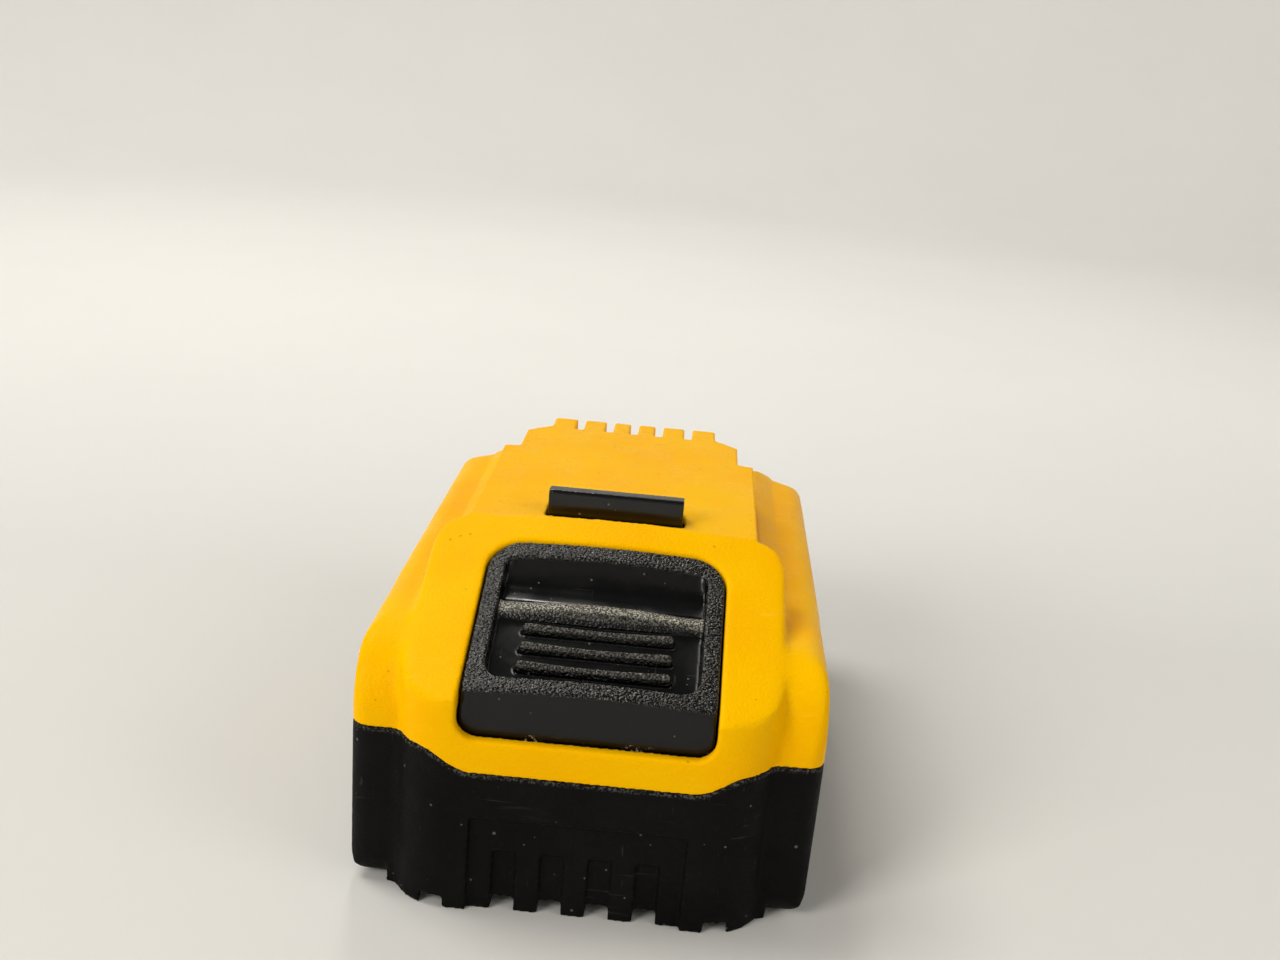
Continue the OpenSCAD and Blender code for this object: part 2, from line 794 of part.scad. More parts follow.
// Foot ribs: what is cut away between them all round the base
module foot_cuts() {
  translate([0, 0, -past]) linear_extrude(foot_h + past) {
    rounded(-x_out + rib_reach, x_out - rib_reach, y_col + rib_reach, y_rear - rib_reach, corner_r);
    gap = rib_pitch - rib_w;
    for (k = [-2 : 1])
      translate([(k + 0.5) * rib_pitch - gap / 2, y_front - past]) square([gap, pack_l + 2 * past]);
    both() translate([2.5 * rib_pitch + gap / 2, y_front - past]) square([gap, pack_l + 2 * past]);
    along_n = floor((pack_l / 2 - cowl_step - corner_r) / rib_pitch);
    for (k = [-along_n : along_n - 1])
      translate([-x_out - past, (k + 0.5) * rib_pitch - gap / 2]) square([pack_w + 2 * past, gap]);
  }
}

// Panel sunk into the lower front, with deeper pockets between its ribs
panel_half = 2 * rib_pitch + rib_w / 2;
module front_panel() {
  deep = panel_depth + pocket_depth;
  block([-panel_half, y_front - past, -past], [panel_half, y_front + panel_depth, panel_h]);
  for (k = [-2 : 1])
    block(
      [k * rib_pitch + rib_w / 2, y_front, -past],
      [(k + 1) * rib_pitch - rib_w / 2, y_front + deep, pocket_h]
    );
}

// Backing inside that keeps the wall's thickness behind the panel
module panel_backing() {
  block(
    [-panel_half - wall, y_front + wall - lap, floor_z - lap],
    [panel_half + wall, y_front + wall + panel_depth + pocket_depth, panel_h + wall]
  );
}

// Upright grooves that hold the gauge board
module gauge_posts() {
  post = 0.7 * wall;
  inner = gauge_board_w / 2 - post;
  top = floor_z + gauge_board_h;
  difference() {
    both() block(
      [inner, gauge_board_y - post, floor_z - lap],
      [gauge_board_w / 2 + post, gauge_face + post, top]
    );
    block(
      [-gauge_board_w / 2 - lap, gauge_board_y - lap, 0],
      [gauge_board_w / 2 + lap, gauge_face + lap, top + past]
    );
  }
}

module bottom_housing() {
  color(black) difference() {
    union() {
      difference() {
        intersection() {
          union() {
            body_form(0);
            linear_extrude(part_h) cowl_plan(0);
            valley_form();
          }
          below_parting();
        }
        translate([0, 0, floor_z]) linear_extrude(part_h) {
          body_plan(wall);
          cowl_plan(wall);
        }
        foot_cuts();
      }
      panel_backing();
      both() translate([boss_x, boss_y, foot_h]) cylinder(r = boss_r, h = guide_z - foot_h);
      gauge_posts();
    }
    front_panel();
    both() translate([boss_x, boss_y, -past]) {
      cylinder(d = screw_d + 2 * screw_gap, h = guide_z + 2 * past);
      cylinder(d = head_d + 2 * screw_gap, h = head_z + past);
    }
    for (y = tab_ys) both() snap_tab(y, tab_gap);
    translate([gauge_x, y_rear + past, gauge_z]) rotate([90, 0, 0])
      cylinder(r = gauge_r + gauge_gap, h = wall + 2 * past);
    along(y_in - past, y_rear + past) translate([-lens_x, gauge_z])
      block_2d(
        [-lens_w / 2 - gauge_gap / 2, -lens_h / 2 - gauge_gap / 2],
        [lens_w / 2 + gauge_gap / 2, lens_h / 2 + gauge_gap / 2]
      );
  }
}

// Outline of the scoop from the side: ribbed floor, level bottom and slanting rear wall
module scoop_side(drop) {
  polygon([
    [y_front, cowl_z(y_front) - scoop_depth - drop], [crest_y, scoop_z - drop],
    [crest_y + crest_r, scoop_z - drop], [scoop_y1 - crest_r, scoop_z + 1.4 - drop],
    [scoop_y1, cowl_z(scoop_y1) - drop], [scoop_y1, ridge_h + 2], [y_front, ridge_h + 2]
  ]);
}

// Crest across the scoop, arched from side to side
module crest() {
  translate([0, crest_y, scoop_z + crest_rise - crest_r - crest_arch]) rotate([90, 0, 0])
    rotate_extrude($fn = 180) translate([crest_arch, 0]) circle(crest_r);
}

// Lower outline of the latch: apron, side walls, and the room left over the cells
module latch_side() {
  polygon([
    [face_y, apron_z], [face_y + latch_wall, apron_z], [face_y + latch_wall, flange_z],
    [clear_y, flange_z], [clear_y, clear_z], [latch_y, clear_z], [latch_y, ridge_h + 1],
    [face_y, ridge_h + 1]
  ]);
}

// Tongue from the side: upright locking face, level top, ramp behind
module tongue_side() {
  ramp = tongue_y + tongue_l;
  polygon([
    [tongue_y, arm_top - arm_h], [tongue_y, tongue_h - 0.4], [tongue_y + 0.4, tongue_h],
    [tongue_y + tongue_top, tongue_h], [ramp, deck_h - 0.5], [ramp, arm_top - arm_h]
  ]);
}

module release_latch() {
  color(black) difference() {
    union() {
      intersection() {
        translate([0, 0, apron_z]) linear_extrude(ridge_h) window_plan(latch_gap);
        under_cowl(face_sink);
        across(pack_w) latch_side();
      }
      // Flanges under the skirts stop the latch from lifting out
      both() block(
        [latch_w / 2 - past, boss_y + boss_r + boss_gap, flange_z],
        [latch_w / 2 + skirt_t, clear_y, flange_z + flange_h]
      );
      across(tongue_w) tongue_side();
      block(
        [-arm_w / 2, latch_y - latch_wall, arm_top - arm_h],
        [arm_w / 2, tongue_y + tongue_l, arm_top]
      );
      block(
        [-wing_w / 2, tongue_y + slot_play, arm_top - arm_h],
        [wing_w / 2, tongue_y + tongue_l, deck_h - wall - flange_gap]
      );
      both() translate([spring_x, spring_y, seat_z - pin_h]) cylinder(d = pin_d, h = pin_h + lap);
    }
    // Thumb scoop with its ribs left standing
    difference() {
      intersection() {
        linear_extrude(2 * ridge_h) rounded(-scoop_w / 2, scoop_w / 2, scoop_y0, scoop_y1, lip_r);
        across(scoop_w + 1) scoop_side(0);
      }
      crest();
      for (k = [0 : grip_ribs - 1]) grip_rib(scoop_y0 + grip_pitch * (k + 0.9));
    }
    // Hollow under the button
    difference() {
      translate([0, 0, apron_z - past]) linear_extrude(ridge_h) intersection() {
        window_plan(latch_gap + latch_wall);
        block_2d([-pack_w, y_front], [pack_w, clear_y + lap]);
      }
      across(pack_w) scoop_side(latch_skin);
      // Level seats over the springs, with the pins inside them
      both() translate([spring_x, spring_y, 0]) {
        cylinder(d = pin_d, h = ridge_h);
        translate([0, 0, seat_z]) cylinder(r = seat_r, h = ridge_h - seat_z);
      }
    }
  }
}

// One grip rib with round ends
module grip_rib(y) {
  z = cowl_z(y) - scoop_depth;
  half = grip_l / 2 - grip_r;
  translate([0, y, z]) {
    rotate([0, 90, 0]) cylinder(r = grip_r, h = 2 * half, center = true);
    for (x = [-half, half]) translate([x, 0, 0]) sphere(grip_r);
  }
}

// Coil spring as one unbroken tube
spring_len = seat_z - spring_z;
coil_rings = 8;
coil_sides = 6;
coil_n = spring_turns * coil_rings;
coil_rise = spring_len - wire_d - 2 * seat_gap;
function coil_point(i, side) = let (
  a = 360 * i / coil_rings,
  b = 360 * side / coil_sides,
  r = spring_d / 2 + wire_d / 2 * cos(b)
) [r * cos(a), r * sin(a), wire_d / 2 + seat_gap + coil_rise * i / coil_n + wire_d / 2 * sin(b)];
module latch_spring(x) {
  points = [for (i = [0 : coil_n], s = [0 : coil_sides - 1]) coil_point(i, s)];
  sides = [for (i = [0 : coil_n - 1], s = [0 : coil_sides - 1]) let (
    a = i * coil_sides + s,
    b = i * coil_sides + (s + 1) % coil_sides
  ) each [[a, a + coil_sides, b], [b, a + coil_sides, b + coil_sides]]];
  end = coil_n * coil_sides;
  caps = [for (s = [1 : coil_sides - 2]) each [[0, s, s + 1], [end, end + s + 1, end + s]]];
  color(steel) translate([x, spring_y, spring_z]) polyhedron(points, concat(sides, caps));
}
module latch_spring_left() latch_spring(-spring_x);
module latch_spring_right() latch_spring(spring_x);
echo(least_coil_gap = coil_rise / spring_turns - wire_d);

module latch_guide() {
  plate_front = face_y + latch_wall + guide_play;
  plate_rear = clear_y + past;
  plate_half = spring_x + seat_r + wall;
  ear_r = boss_r - boss_gap;
  clear_half = latch_w / 2 + guide_play;
  color(grey) difference() {
    union() {
      inside_cowl() translate([0, 0, guide_z]) linear_extrude(guide_t) difference() {
        union() {
          block_2d([-plate_half, plate_front], [plate_half, plate_rear]);
          both() translate([boss_x, boss_y]) circle(ear_r);
          both() bar([plate_half - past, boss_y + ear_r / 2], [boss_x, boss_y], 1.3 * ear_r);
        }
        block_2d([-clear_half, y_front], [clear_half, plate_front]);
      }
      both() translate([spring_x, spring_y, guide_z]) cylinder(d = pin_d, h = guide_t + pin_h);
    }
    both() translate([boss_x, boss_y, guide_z - past])
      cylinder(d = screw_d + 2 * screw_gap, h = guide_t + 2 * past);
  }
}

module housing_screws() {
  color(steel) both() translate([boss_x, boss_y, 0]) difference() {
    union() {
      translate([0, 0, head_z - head_h]) cylinder(d = head_d, h = head_h);
      translate([0, 0, head_z - lap]) cylinder(d = screw_d, h = screw_top - head_z);
    }
    translate([0, 0, head_z - head_h - past])
      cylinder(d = head_d / 2, h = head_h / 2 + past, $fn = 6);
  }
}

// Outline of a cell holder from the side
module holder_side() {
  rim = bore_r + holder_rim;
  front_low = lower_y(0) - rim;
  rear_low = lower_y(row_cells - 1) + rim;
  front_top = upper_y(0) - rim;
  rear_top = upper_y(row_cells - 1) + rim;
  polygon([
    [front_low, floor_z], [rear_low, floor_z], [rear_low, lower_z],
    [rear_top, upper_z - rim * 0.8], [rear_top, holder_top - rim * 0.2],
    [rear_top - rim * 0.2, holder_top], [front_top + rim * 0.2, holder_top],
    [front_top, holder_top - rim * 0.2], [front_top, upper_z], [front_low, lower_z + rim * 0.8]
  ]);
}

post_ys = [board_y0 + board_l / 8, board_y1 - board_l / 6];
module cell_holder_right() {
  color(grey) difference() {
    union() {
      translate([x_cell - holder_depth / 2, 0, 0]) across(holder_depth) holder_side();
      for (y = post_ys) translate([post_x, y, holder_top - lap]) cylinder(r = post_r, h = board_post + lap);
    }
    for (n = [1 : 2 * row_cells]) translate([x_cell, cell_place(n)[0], cell_place(n)[1]])
      rotate([0, 90, 0]) cylinder(r = bore_r, h = 3 * holder_depth, center = true);
    for (y = post_ys) translate([post_x, y, board_z - 1.2 * past])
      cylinder(d = board_screw_d + screw_gap, h = 2 * past);
  }
}
module cell_holder_left() {
  mirror([1, 0, 0]) cell_holder_right();
}

// One cell: a wrapped can with its positive button
module cell(n) {
  place = cell_place(n);
  color([0.1, 0.35, 0.6]) translate([0, place[0], place[1]])
    rotate([0, 90 * positive_side(n), 0]) translate([0, 0, -x_cell]) {
      cylinder(d = cell_d, h = cell_len - button_h);
      cylinder(d = button_d, h = cell_len);
    }
}
module cell_1() cell(1);
module cell_2() cell(2);
module cell_3() cell(3);
module cell_4() cell(4);
module cell_5() cell(5);
module cell_6() cell(6);
module cell_7() cell(7);
module cell_8() cell(8);
module cell_9() cell(9);
module cell_10() cell(10);

module cell_rings() {
  color("white") for (n = [1 : 2 * row_cells])
    translate([0, cell_place(n)[0], cell_place(n)[1]]) rotate([0, 90 * positive_side(n), 0])
      translate([0, 0, x_cell - button_h]) difference() {
        cylinder(d = cell_d - 1.4, h = ring_t);
        translate([0, 0, -1]) cylinder(d = button_d + 1, h = ring_t + 2);
      }
}

// One nickel strap over the parallel pairs from first to last.
// Its tab folds over the holder, runs back where the board is further on, and rises beside the board.
module strap(side, first, last) {
  tab_y = upper_y(last);
  tab_end = max(tab_y, board_y0 + strap_tab_w);
  tab_in = board_w / 2 + lap;
  color(steel) mirror([side < 0 ? 1 : 0, 0, 0]) {
    translate([x_cell + strap_t / 2, 0, 0]) across(strap_t) {
      for (k = [first : last]) {
        bar([lower_y(k), lower_z], [upper_y(k), upper_z], strap_w);
        translate([lower_y(k), lower_z]) circle(strap_w / 2);
        translate([upper_y(k), upper_z]) circle(strap_w / 2);
      }
      for (k = [first : 1 : last - 1]) {
        bar([lower_y(k), lower_z], [lower_y(k + 1), lower_z], strap_w);
        bar([upper_y(k), upper_z], [upper_y(k + 1), upper_z], strap_w);
      }
      block_2d([tab_y - strap_tab_w / 2, upper_z], [tab_y + strap_tab_w / 2, holder_top + strap_t]);
    }
    block(
      [x_cell - strap_tab_w, tab_y - strap_tab_w / 2, holder_top],
      [x_cell + strap_t, tab_end + strap_tab_w / 2, holder_top + strap_t]
    );
    block(
      [tab_in, tab_end - strap_tab_w / 2, holder_top],
      [x_cell + strap_t, tab_end + strap_tab_w / 2, holder_top + strap_t]
    );
    block(
      [tab_in, tab_end - strap_tab_w / 2, holder_top],
      [tab_in + strap_t, tab_end + strap_tab_w / 2, board_top]
    );
  }
}
module strap_1() strap(-1, 0, 0);
module strap_2() strap(-1, 1, 2);
module strap_3() strap(-1, 3, 4);
module strap_4() strap(1, 0, 1);
module strap_5() strap(1, 2, 3);
module strap_6() strap(1, 4, 4);

// Insulating sheet over the straps of one side
module strap_sheet_right() {
  color([0.75, 0.7, 0.5]) translate([x_cell + strap_t + sheet_t / 2, 0, 0]) across(sheet_t)
    intersection() {
      holder_side();
      block_2d([holder_front + lap, floor_z + lap], [holder_rear - lap, holder_top - lap]);
    }
}
module strap_sheet_left() {
  mirror([1, 0, 0]) strap_sheet_right();
}

module foam_pads() {
  outer = x_cell - strap_tab_w - 2 * lap;
  color([0.2, 0.2, 0.2]) for (k = [1, 3, 4]) both()
    block(
      [outer - pad_w, lower_y(k) - pad_l / 2, holder_top],
      [outer, lower_y(k) + pad_l / 2, holder_top + pad_t]
    );
}

module battery_board() {
  color(green) difference() {
    translate([0, 0, board_z]) linear_extrude(board_t)
      rounded(-board_w / 2, board_w / 2, board_y0, board_y1, 1.5);
    for (y = post_ys) both() translate([post_x, y, board_z - past])
      cylinder(d = board_screw_d + 3 * screw_gap, h = board_t + 2 * past);
  }
}

// Switches, controller, fuse and capacitors on the board
module board_components() {
  driver = [driver_w, driver_l, driver_h];
  chip = [chip_w, chip_w, chip_h];
  cap = [cap_w, cap_w, cap_w];
  // Each as its middle across the board, its front edge along the board, and its size
  parts = [
    [-0.14, 0.08, driver], [0.14, 0.08, driver], [-0.11, 0.32, chip], [0.11, 0.34, 0.7 * chip],
    [0.28, 0.31, [fuse_l / 2, fuse_l, fuse_l / 3]], [0.28, 0.49, cap], [-0.28, 0.49, 0.8 * cap]
  ];
  color(black) for (p = parts)
    translate([p[0] * board_w - p[2][0] / 2, board_y0 + p[1] * board_l, board_top]) cube(p[2]);
}

module board_screws() {
  color(steel) for (y = post_ys) both() translate([post_x, y, 0]) {
    translate([0, 0, board_z - past]) cylinder(d = board_screw_d, h = board_t + past + lap);
    translate([0, 0, board_top]) cylinder(d = board_head_d, h = 0.75 * board_screw_d);
  }
}

// Thermistor bead in the valley between two upper cells, with its two leads
module thermistor() {
  bead_r = 1.5;
  y = lower_y(3);
  rise = sqrt(pow(cell_d / 2 + bead_r + 0.15, 2) - pow(pitch / 2, 2));
  color([0.1, 0.1, 0.1]) translate([0, y, upper_z + rise]) {
    rotate([0, 90, 0]) cylinder(r = bead_r, h = 5, center = true);
    for (x = [-1.2, 1.2]) translate([x, 0, 0]) cylinder(d = 0.8, h = board_z - upper_z - rise);
  }
}

block_y1 = comb_y - slot_play - clip_gap;
block_y0 = block_y1 - block_l;
module terminal_block() {
  half = comb_w / 2 - wall - clip_gap;
  color(black) difference() {
    block([-half, block_y0, board_top], [half, block_y1, board_top + block_h]);
    for (x = slot_xs)
      block(
        [x - clip_w / 2 - clip_gap, block_y0 - past, board_top - past],
        [x + clip_w / 2 + clip_gap, comb_y, board_top + clip_h + clip_gap]
      );
  }
}

// One terminal: two waisted blades rising from a base that is soldered to the board
module terminal(x) {
  half = clip_w / 2;
  inner = half - blade_t;
  waist = half / 4;
  low = clip_h * 0.6;
  high = clip_h * 0.86;
  blade = [
    [half, 0], [half, low], [half - waist, high], [half, clip_h], [inner, clip_h],
    [inner - waist, high], [inner, low], [inner, blade_t]
  ];
  other = [for (k = [len(blade) - 1 : -1 : 0]) [-blade[k][0], blade[k][1]]];
  color(brass) translate([x, 0, board_top]) along(block_y0 + 2 * clip_gap, block_y1 - 2 * clip_gap)
    polygon(concat(blade, other));
}
module terminal_positive() terminal(slot_outer);
module terminal_negative() terminal(-slot_outer);
module signal_terminals() {
  for (x = [-slot_inner, 0, slot_inner]) terminal(x);
}

// Gauge board with its small push switch
module gauge_board() {
  half = switch_w / 2;
  color(green) {
    block(
      [-gauge_board_w / 2, gauge_board_y, floor_z],
      [gauge_board_w / 2, gauge_face, floor_z + gauge_board_h]
    );
    block(
      [gauge_x - half, gauge_face - lap, gauge_z - half],
      [gauge_x + half, gauge_face + switch_h, gauge_z + half]
    );
    translate([gauge_x, gauge_face, gauge_z]) rotate([-90, 0, 0])
      cylinder(r = stem_r, h = switch_h + plunger_h);
  }
}

lamp_xs = [for (k = [-1 : 1]) -lens_x + k * lamp_pitch];
module gauge_lamps() {
  half = lamp_w / 2;
  color([0.8, 0.9, 0.8]) for (x = lamp_xs)
    block(
      [x - half, gauge_face, gauge_z - 0.8 * half],
      [x + half, gauge_face + lamp_h, gauge_z + 0.8 * half]
    );
}

// Lens bar with a flange behind the wall and one light pipe for each lamp
module gauge_lens() {
  pipe = 0.6 * lamp_w;
  half = lens_w / 2;
  color([0.3, 0.32, 0.3]) {
    block(
      [-lens_x - half, y_in - flange_t, gauge_z - lens_h / 2],
      [-lens_x + half, y_rear - gauge_gap, gauge_z + lens_h / 2]
    );
    block(
      [-lens_x - half - flange_reach, y_in - flange_t, gauge_z - lens_h / 2 - flange_reach],
      [-lens_x + half + flange_reach / 2, y_in, gauge_z + lens_h / 2 + flange_reach]
    );
    for (x = lamp_xs)
      block(
        [x - pipe, gauge_face + lamp_h + 2 * lap, gauge_z - pipe],
        [x + pipe, y_in - flange_t + lap, gauge_z + pipe]
      );
  }
}

// Gauge button: cap in its bore, flange behind the wall, stem towards the switch
module gauge_button() {
  tip = gauge_face + switch_h + plunger_h + gauge_travel + lap;
  back = y_in - 2 * lap;
  color(black) translate([gauge_x, 0, gauge_z]) {
    translate([0, back + wall, 0]) rotate([90, 0, 0]) cylinder(r = gauge_r, h = wall + flange_t);
    translate([0, back, 0]) rotate([90, 0, 0]) cylinder(r = gauge_r + flange_reach, h = flange_t);
    translate([0, back - lap, 0]) rotate([90, 0, 0]) cylinder(r = stem_r, h = back - lap - tip);
  }
}

// Flat ribbon from the gauge board up behind the cells to the battery board
module gauge_ribbon() {
  half = ribbon_t / 2;
  back = y_in - end_gap;
  low = floor_z + gauge_board_h;
  path = [
    [gauge_face + half, low - gauge_board_h / 3], [gauge_face + half, low + past],
    [back, low + past], [back, upper_z + cell_d / 6],
    [board_y1 + past, board_top + half], [board_y1 - 2 * past, board_top + half]
  ];
  color([0.7, 0.4, 0.1]) across(ribbon_w) {
    for (k = [0 : len(path) - 2]) bar(path[k], path[k + 1], ribbon_t);
    for (k = [1 : len(path) - 2]) translate(path[k]) circle(half, $fn = 12);
  }
}

top_housing();
bottom_housing();
release_latch();
latch_spring_left();
latch_spring_right();
latch_guide();
housing_screws();
cell_holder_left();
cell_holder_right();
cell_1();
cell_2();
cell_3();
cell_4();
cell_5();
cell_6();
cell_7();
cell_8();
cell_9();
cell_10();
cell_rings();
strap_1();
strap_2();
strap_3();
strap_4();
strap_5();
strap_6();
strap_sheet_left();
strap_sheet_right();
foam_pads();
battery_board();
board_components();
board_screws();
thermistor();
terminal_block();
terminal_positive();
terminal_negative();
signal_terminals();
gauge_board();
gauge_lamps();
gauge_lens();
gauge_button();
gauge_ribbon();
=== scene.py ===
# %% [markdown]
# # A slide-on battery pack for a cordless tool
# The pack is two moulded shells, one yellow and one black, with a black release latch in the front.
# The CAD part already has every piece in its real place, so this lesson gives the pieces their
# looks: soft moulded edges, grained plastics with wear, and a camera and light that suit the
# photograph.

import math

import bmesh
import bpy
from mathutils import Matrix, Vector
from mathutils.bvhtree import BVHTree


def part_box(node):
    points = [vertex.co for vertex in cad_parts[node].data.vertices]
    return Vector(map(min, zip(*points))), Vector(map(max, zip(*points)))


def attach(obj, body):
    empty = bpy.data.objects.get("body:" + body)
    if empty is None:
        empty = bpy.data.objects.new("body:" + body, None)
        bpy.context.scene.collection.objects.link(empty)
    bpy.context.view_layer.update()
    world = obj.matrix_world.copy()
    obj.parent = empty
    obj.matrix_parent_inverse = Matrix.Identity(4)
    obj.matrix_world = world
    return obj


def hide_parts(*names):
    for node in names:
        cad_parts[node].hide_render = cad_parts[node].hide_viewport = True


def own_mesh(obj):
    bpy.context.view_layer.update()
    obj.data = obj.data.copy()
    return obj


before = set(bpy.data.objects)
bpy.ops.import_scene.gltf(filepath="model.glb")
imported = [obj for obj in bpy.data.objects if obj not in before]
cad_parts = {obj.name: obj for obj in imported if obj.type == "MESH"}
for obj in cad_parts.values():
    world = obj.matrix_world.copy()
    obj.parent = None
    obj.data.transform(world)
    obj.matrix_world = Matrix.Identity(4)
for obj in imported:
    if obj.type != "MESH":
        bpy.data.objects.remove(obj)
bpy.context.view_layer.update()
MM = 0.001
scene = bpy.context.scene
print("pieces in the frame:", len(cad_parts))

# %% [markdown]
# ## Soft mouldings
# A mould never leaves a knife edge, and the real shells melt from one face into the next.
# A Bevel modifier rounds each edge alike and trips over the small faces where several meet.
# So a merged copy of the CAD mesh gets an even skin from a voxel Remesh.
# A Smooth modifier melts that skin by a different amount at each point, and a Decimate modifier
# takes away the faces that flat areas don't need.
# The copy is turned askew while it gets its skin, because an edge that runs along the voxels would
# come out in long steps.


# %% Keep what a piece's modifiers make as its mesh
def settle(piece):
    seen = piece.evaluated_get(bpy.context.evaluated_depsgraph_get())
    rough = piece.data
    piece.data = bpy.data.meshes.new_from_object(seen)
    piece.modifiers.clear()
    bpy.data.meshes.remove(rough)
    piece.data.name = piece.name


# %% Measure how far a finished piece departs from its CAD solid, at some of its points
SAMPLE_EVERY = 9


def farthest(piece, node):
    solid = bmesh.new()
    solid.from_mesh(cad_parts[node].data)
    surface = BVHTree.FromBMesh(solid)
    solid.free()
    some = list(piece.data.vertices)[::SAMPLE_EVERY]
    return round(max(surface.find_nearest(v.co)[3] for v in some) / MM, 2)


# %% Make a moulding that melts by its own amount at each point
MELT_STEPS = 120
MELT_FACTOR = 0.5
WELD = 0.002 * MM
ASKEW = (
    Matrix.Rotation(0.52, 4, "Z")
    @ Matrix.Rotation(0.31, 4, "X")
    @ Matrix.Rotation(0.23, 4, "Y")
)


def moulding(node, name, body, voxel, melt_at, triangles, sink_at=None):
    shape = bmesh.new()
    shape.from_mesh(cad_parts[node].data)
    bmesh.ops.remove_doubles(shape, verts=shape.verts, dist=WELD)
    bmesh.ops.transform(shape, matrix=ASKEW, verts=shape.verts)
    mesh = bpy.data.meshes.new(name)
    shape.to_mesh(mesh)
    shape.free()
    piece = bpy.data.objects.new(name, mesh)
    scene.collection.objects.link(piece)
    skin = piece.modifiers.new("even skin", "REMESH")
    skin.mode = "VOXEL"
    skin.voxel_size = voxel * MM
    settle(piece)
    piece.data.transform(ASKEW.inverted())
    if sink_at:
        for corner in piece.data.vertices:
            corner.co.z -= sink_at(corner.co / MM) * MM
    fullest = MELT_FACTOR * MELT_STEPS * voxel * voxel / 2
    amount = piece.vertex_groups.new(name="melt")
    for corner in piece.data.vertices:
        amount.add([corner.index], min(1, melt_at(corner.co / MM) ** 2 / fullest), "REPLACE")
    melt = piece.modifiers.new("melt", "SMOOTH")
    melt.factor = MELT_FACTOR
    melt.iterations = MELT_STEPS
    melt.vertex_group = "melt"
    settle(piece)
    thin = piece.modifiers.new("thin", "DECIMATE")
    thin.ratio = min(1, triangles / 2 / len(piece.data.polygons))
    settle(piece)
    piece.vertex_groups.clear()
    piece.data.shade_smooth()
    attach(piece, body)
    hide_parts(node)
    apart = farthest(piece, node)
    print(name, "faces:", len(piece.data.polygons), "farthest from CAD:", apart, "mm")
    return piece


# %% [markdown]
# ## How far each moulding melts
# A melt of 1 mm leaves an edge with a radius of a little more than that.
# The cowl's crease and the shoulders beside it are the softest places on the real pack.
# The comb's teeth and the window's edge are rounded by less than a millimetre.
# The rails and the parting line are only broken a little, because other pieces run against them.


# %% The cowl's sloping top and its outline in plan
def fade(value, start, end):
    t = min(1, max(0, (value - start) / (end - start)))
    return t * t * (3 - 2 * t)


RIDGE_Y, RIDGE_Z = -18, 55.22
COWL_SLOPE = math.tan(math.radians(23.3))
COWL_CROWN = 478
COWL_HALF, COWL_MIDDLE, COWL_LONG = 30.5, -38, 20
FRONT_RADIUS, BACK_RADIUS = 9.5, 6


def cowl_top(x, y):
    return RIDGE_Z + (y - RIDGE_Y) * COWL_SLOPE - x * x / COWL_CROWN


def outside_cowl(x, y):
    radius = FRONT_RADIUS if y < COWL_MIDDLE else BACK_RADIUS
    over_x = abs(x) - COWL_HALF + radius
    over_y = abs(y - COWL_MIDDLE) - COWL_LONG + radius
    return math.hypot(max(over_x, 0), max(over_y, 0)) + min(max(over_x, over_y), 0) - radius


# %% The yellow top shell
SOFT_MELT, CORNER_MELT, EDGE_MELT, COMB_MELT, FAINT_MELT = 1.6, 1.0, 0.8, 0.5, 0.27
WINDOW_HALF, WINDOW_BACK, NEAR = 20.3, -22.5, 1.5
RIDGE_FRONT, RIDGE_BACK = RIDGE_Y - 2, RIDGE_Y + 0.5
LIP_Y, LIP_Z = -56.3, 29
COMB_HALF, COMB_FRONT, COMB_FOOT = 18.5, 42, 44
# Where each soft zone fades in: across, then up, then towards the front or the back
CREASE_ACROSS, CREASE_REACH, CREASE_AHEAD = (WINDOW_HALF, 25), (2.5, 5), (16.5, 24)
SHOULDER_ACROSS, SHOULDER_UP, SHOULDER_AHEAD = (27, 30), (30.5, 34), (14, 22)
CORNER_ACROSS, CORNER_UP, CORNER_BEHIND = (29, 33), (34, 38), (44, 50)


def top_melt(p):
    x = abs(p.x)
    from_top = abs(p.z - cowl_top(p.x, p.y))
    crease = 1 - fade(math.hypot(outside_cowl(p.x, p.y), from_top), *CREASE_REACH)
    crease *= fade(x, *CREASE_ACROSS) * fade(-p.y, *CREASE_AHEAD)
    shoulder = fade(x, *SHOULDER_ACROSS) * fade(p.z, *SHOULDER_UP) * fade(-p.y, *SHOULDER_AHEAD)
    corner = fade(p.z, *CORNER_UP) * fade(p.y, *CORNER_BEHIND) * fade(x, *CORNER_ACROSS)
    by_window = x < WINDOW_HALF + NEAR
    on_ridge = from_top < NEAR and RIDGE_FRONT < p.y < RIDGE_BACK
    on_window = by_window and from_top < NEAR and p.y < WINDOW_BACK
    on_lip = by_window and p.y < LIP_Y and p.z > LIP_Z
    on_comb = p.y > COMB_FRONT and x < COMB_HALF and p.z > COMB_FOOT
    small = COMB_MELT if on_comb else FAINT_MELT
    if on_window or on_lip or on_ridge:
        small = EDGE_MELT
    return max(small, SOFT_MELT * crease, SOFT_MELT * shoulder, CORNER_MELT * corner)


top_shell = moulding(
    "top_housing", "top_shell", "housing", voxel=0.3, melt_at=top_melt, triangles=180000
)


# %% The black lower shell, with a softer rim along the parting line
PART_Z, PART_DIP, DIP_LEVEL, DIP_FOOT, DIP_BACK = 28.2, 3.3, 17.6, 26, -48.8
RIM_HEIGHT, RIM_MELT, TUB_MELT = 1.5, 0.42, 0.28


def parting(p):
    dip = PART_DIP * (1 - fade(abs(p.x), DIP_LEVEL, DIP_FOOT)) if p.y < DIP_BACK else 0
    return PART_Z - dip


def bottom_melt(p):
    return RIM_MELT if abs(p.z - parting(p)) < RIM_HEIGHT else TUB_MELT


bottom_shell = moulding(
    "bottom_housing", "bottom_shell", "housing", voxel=0.33, melt_at=bottom_melt, triangles=160000
)


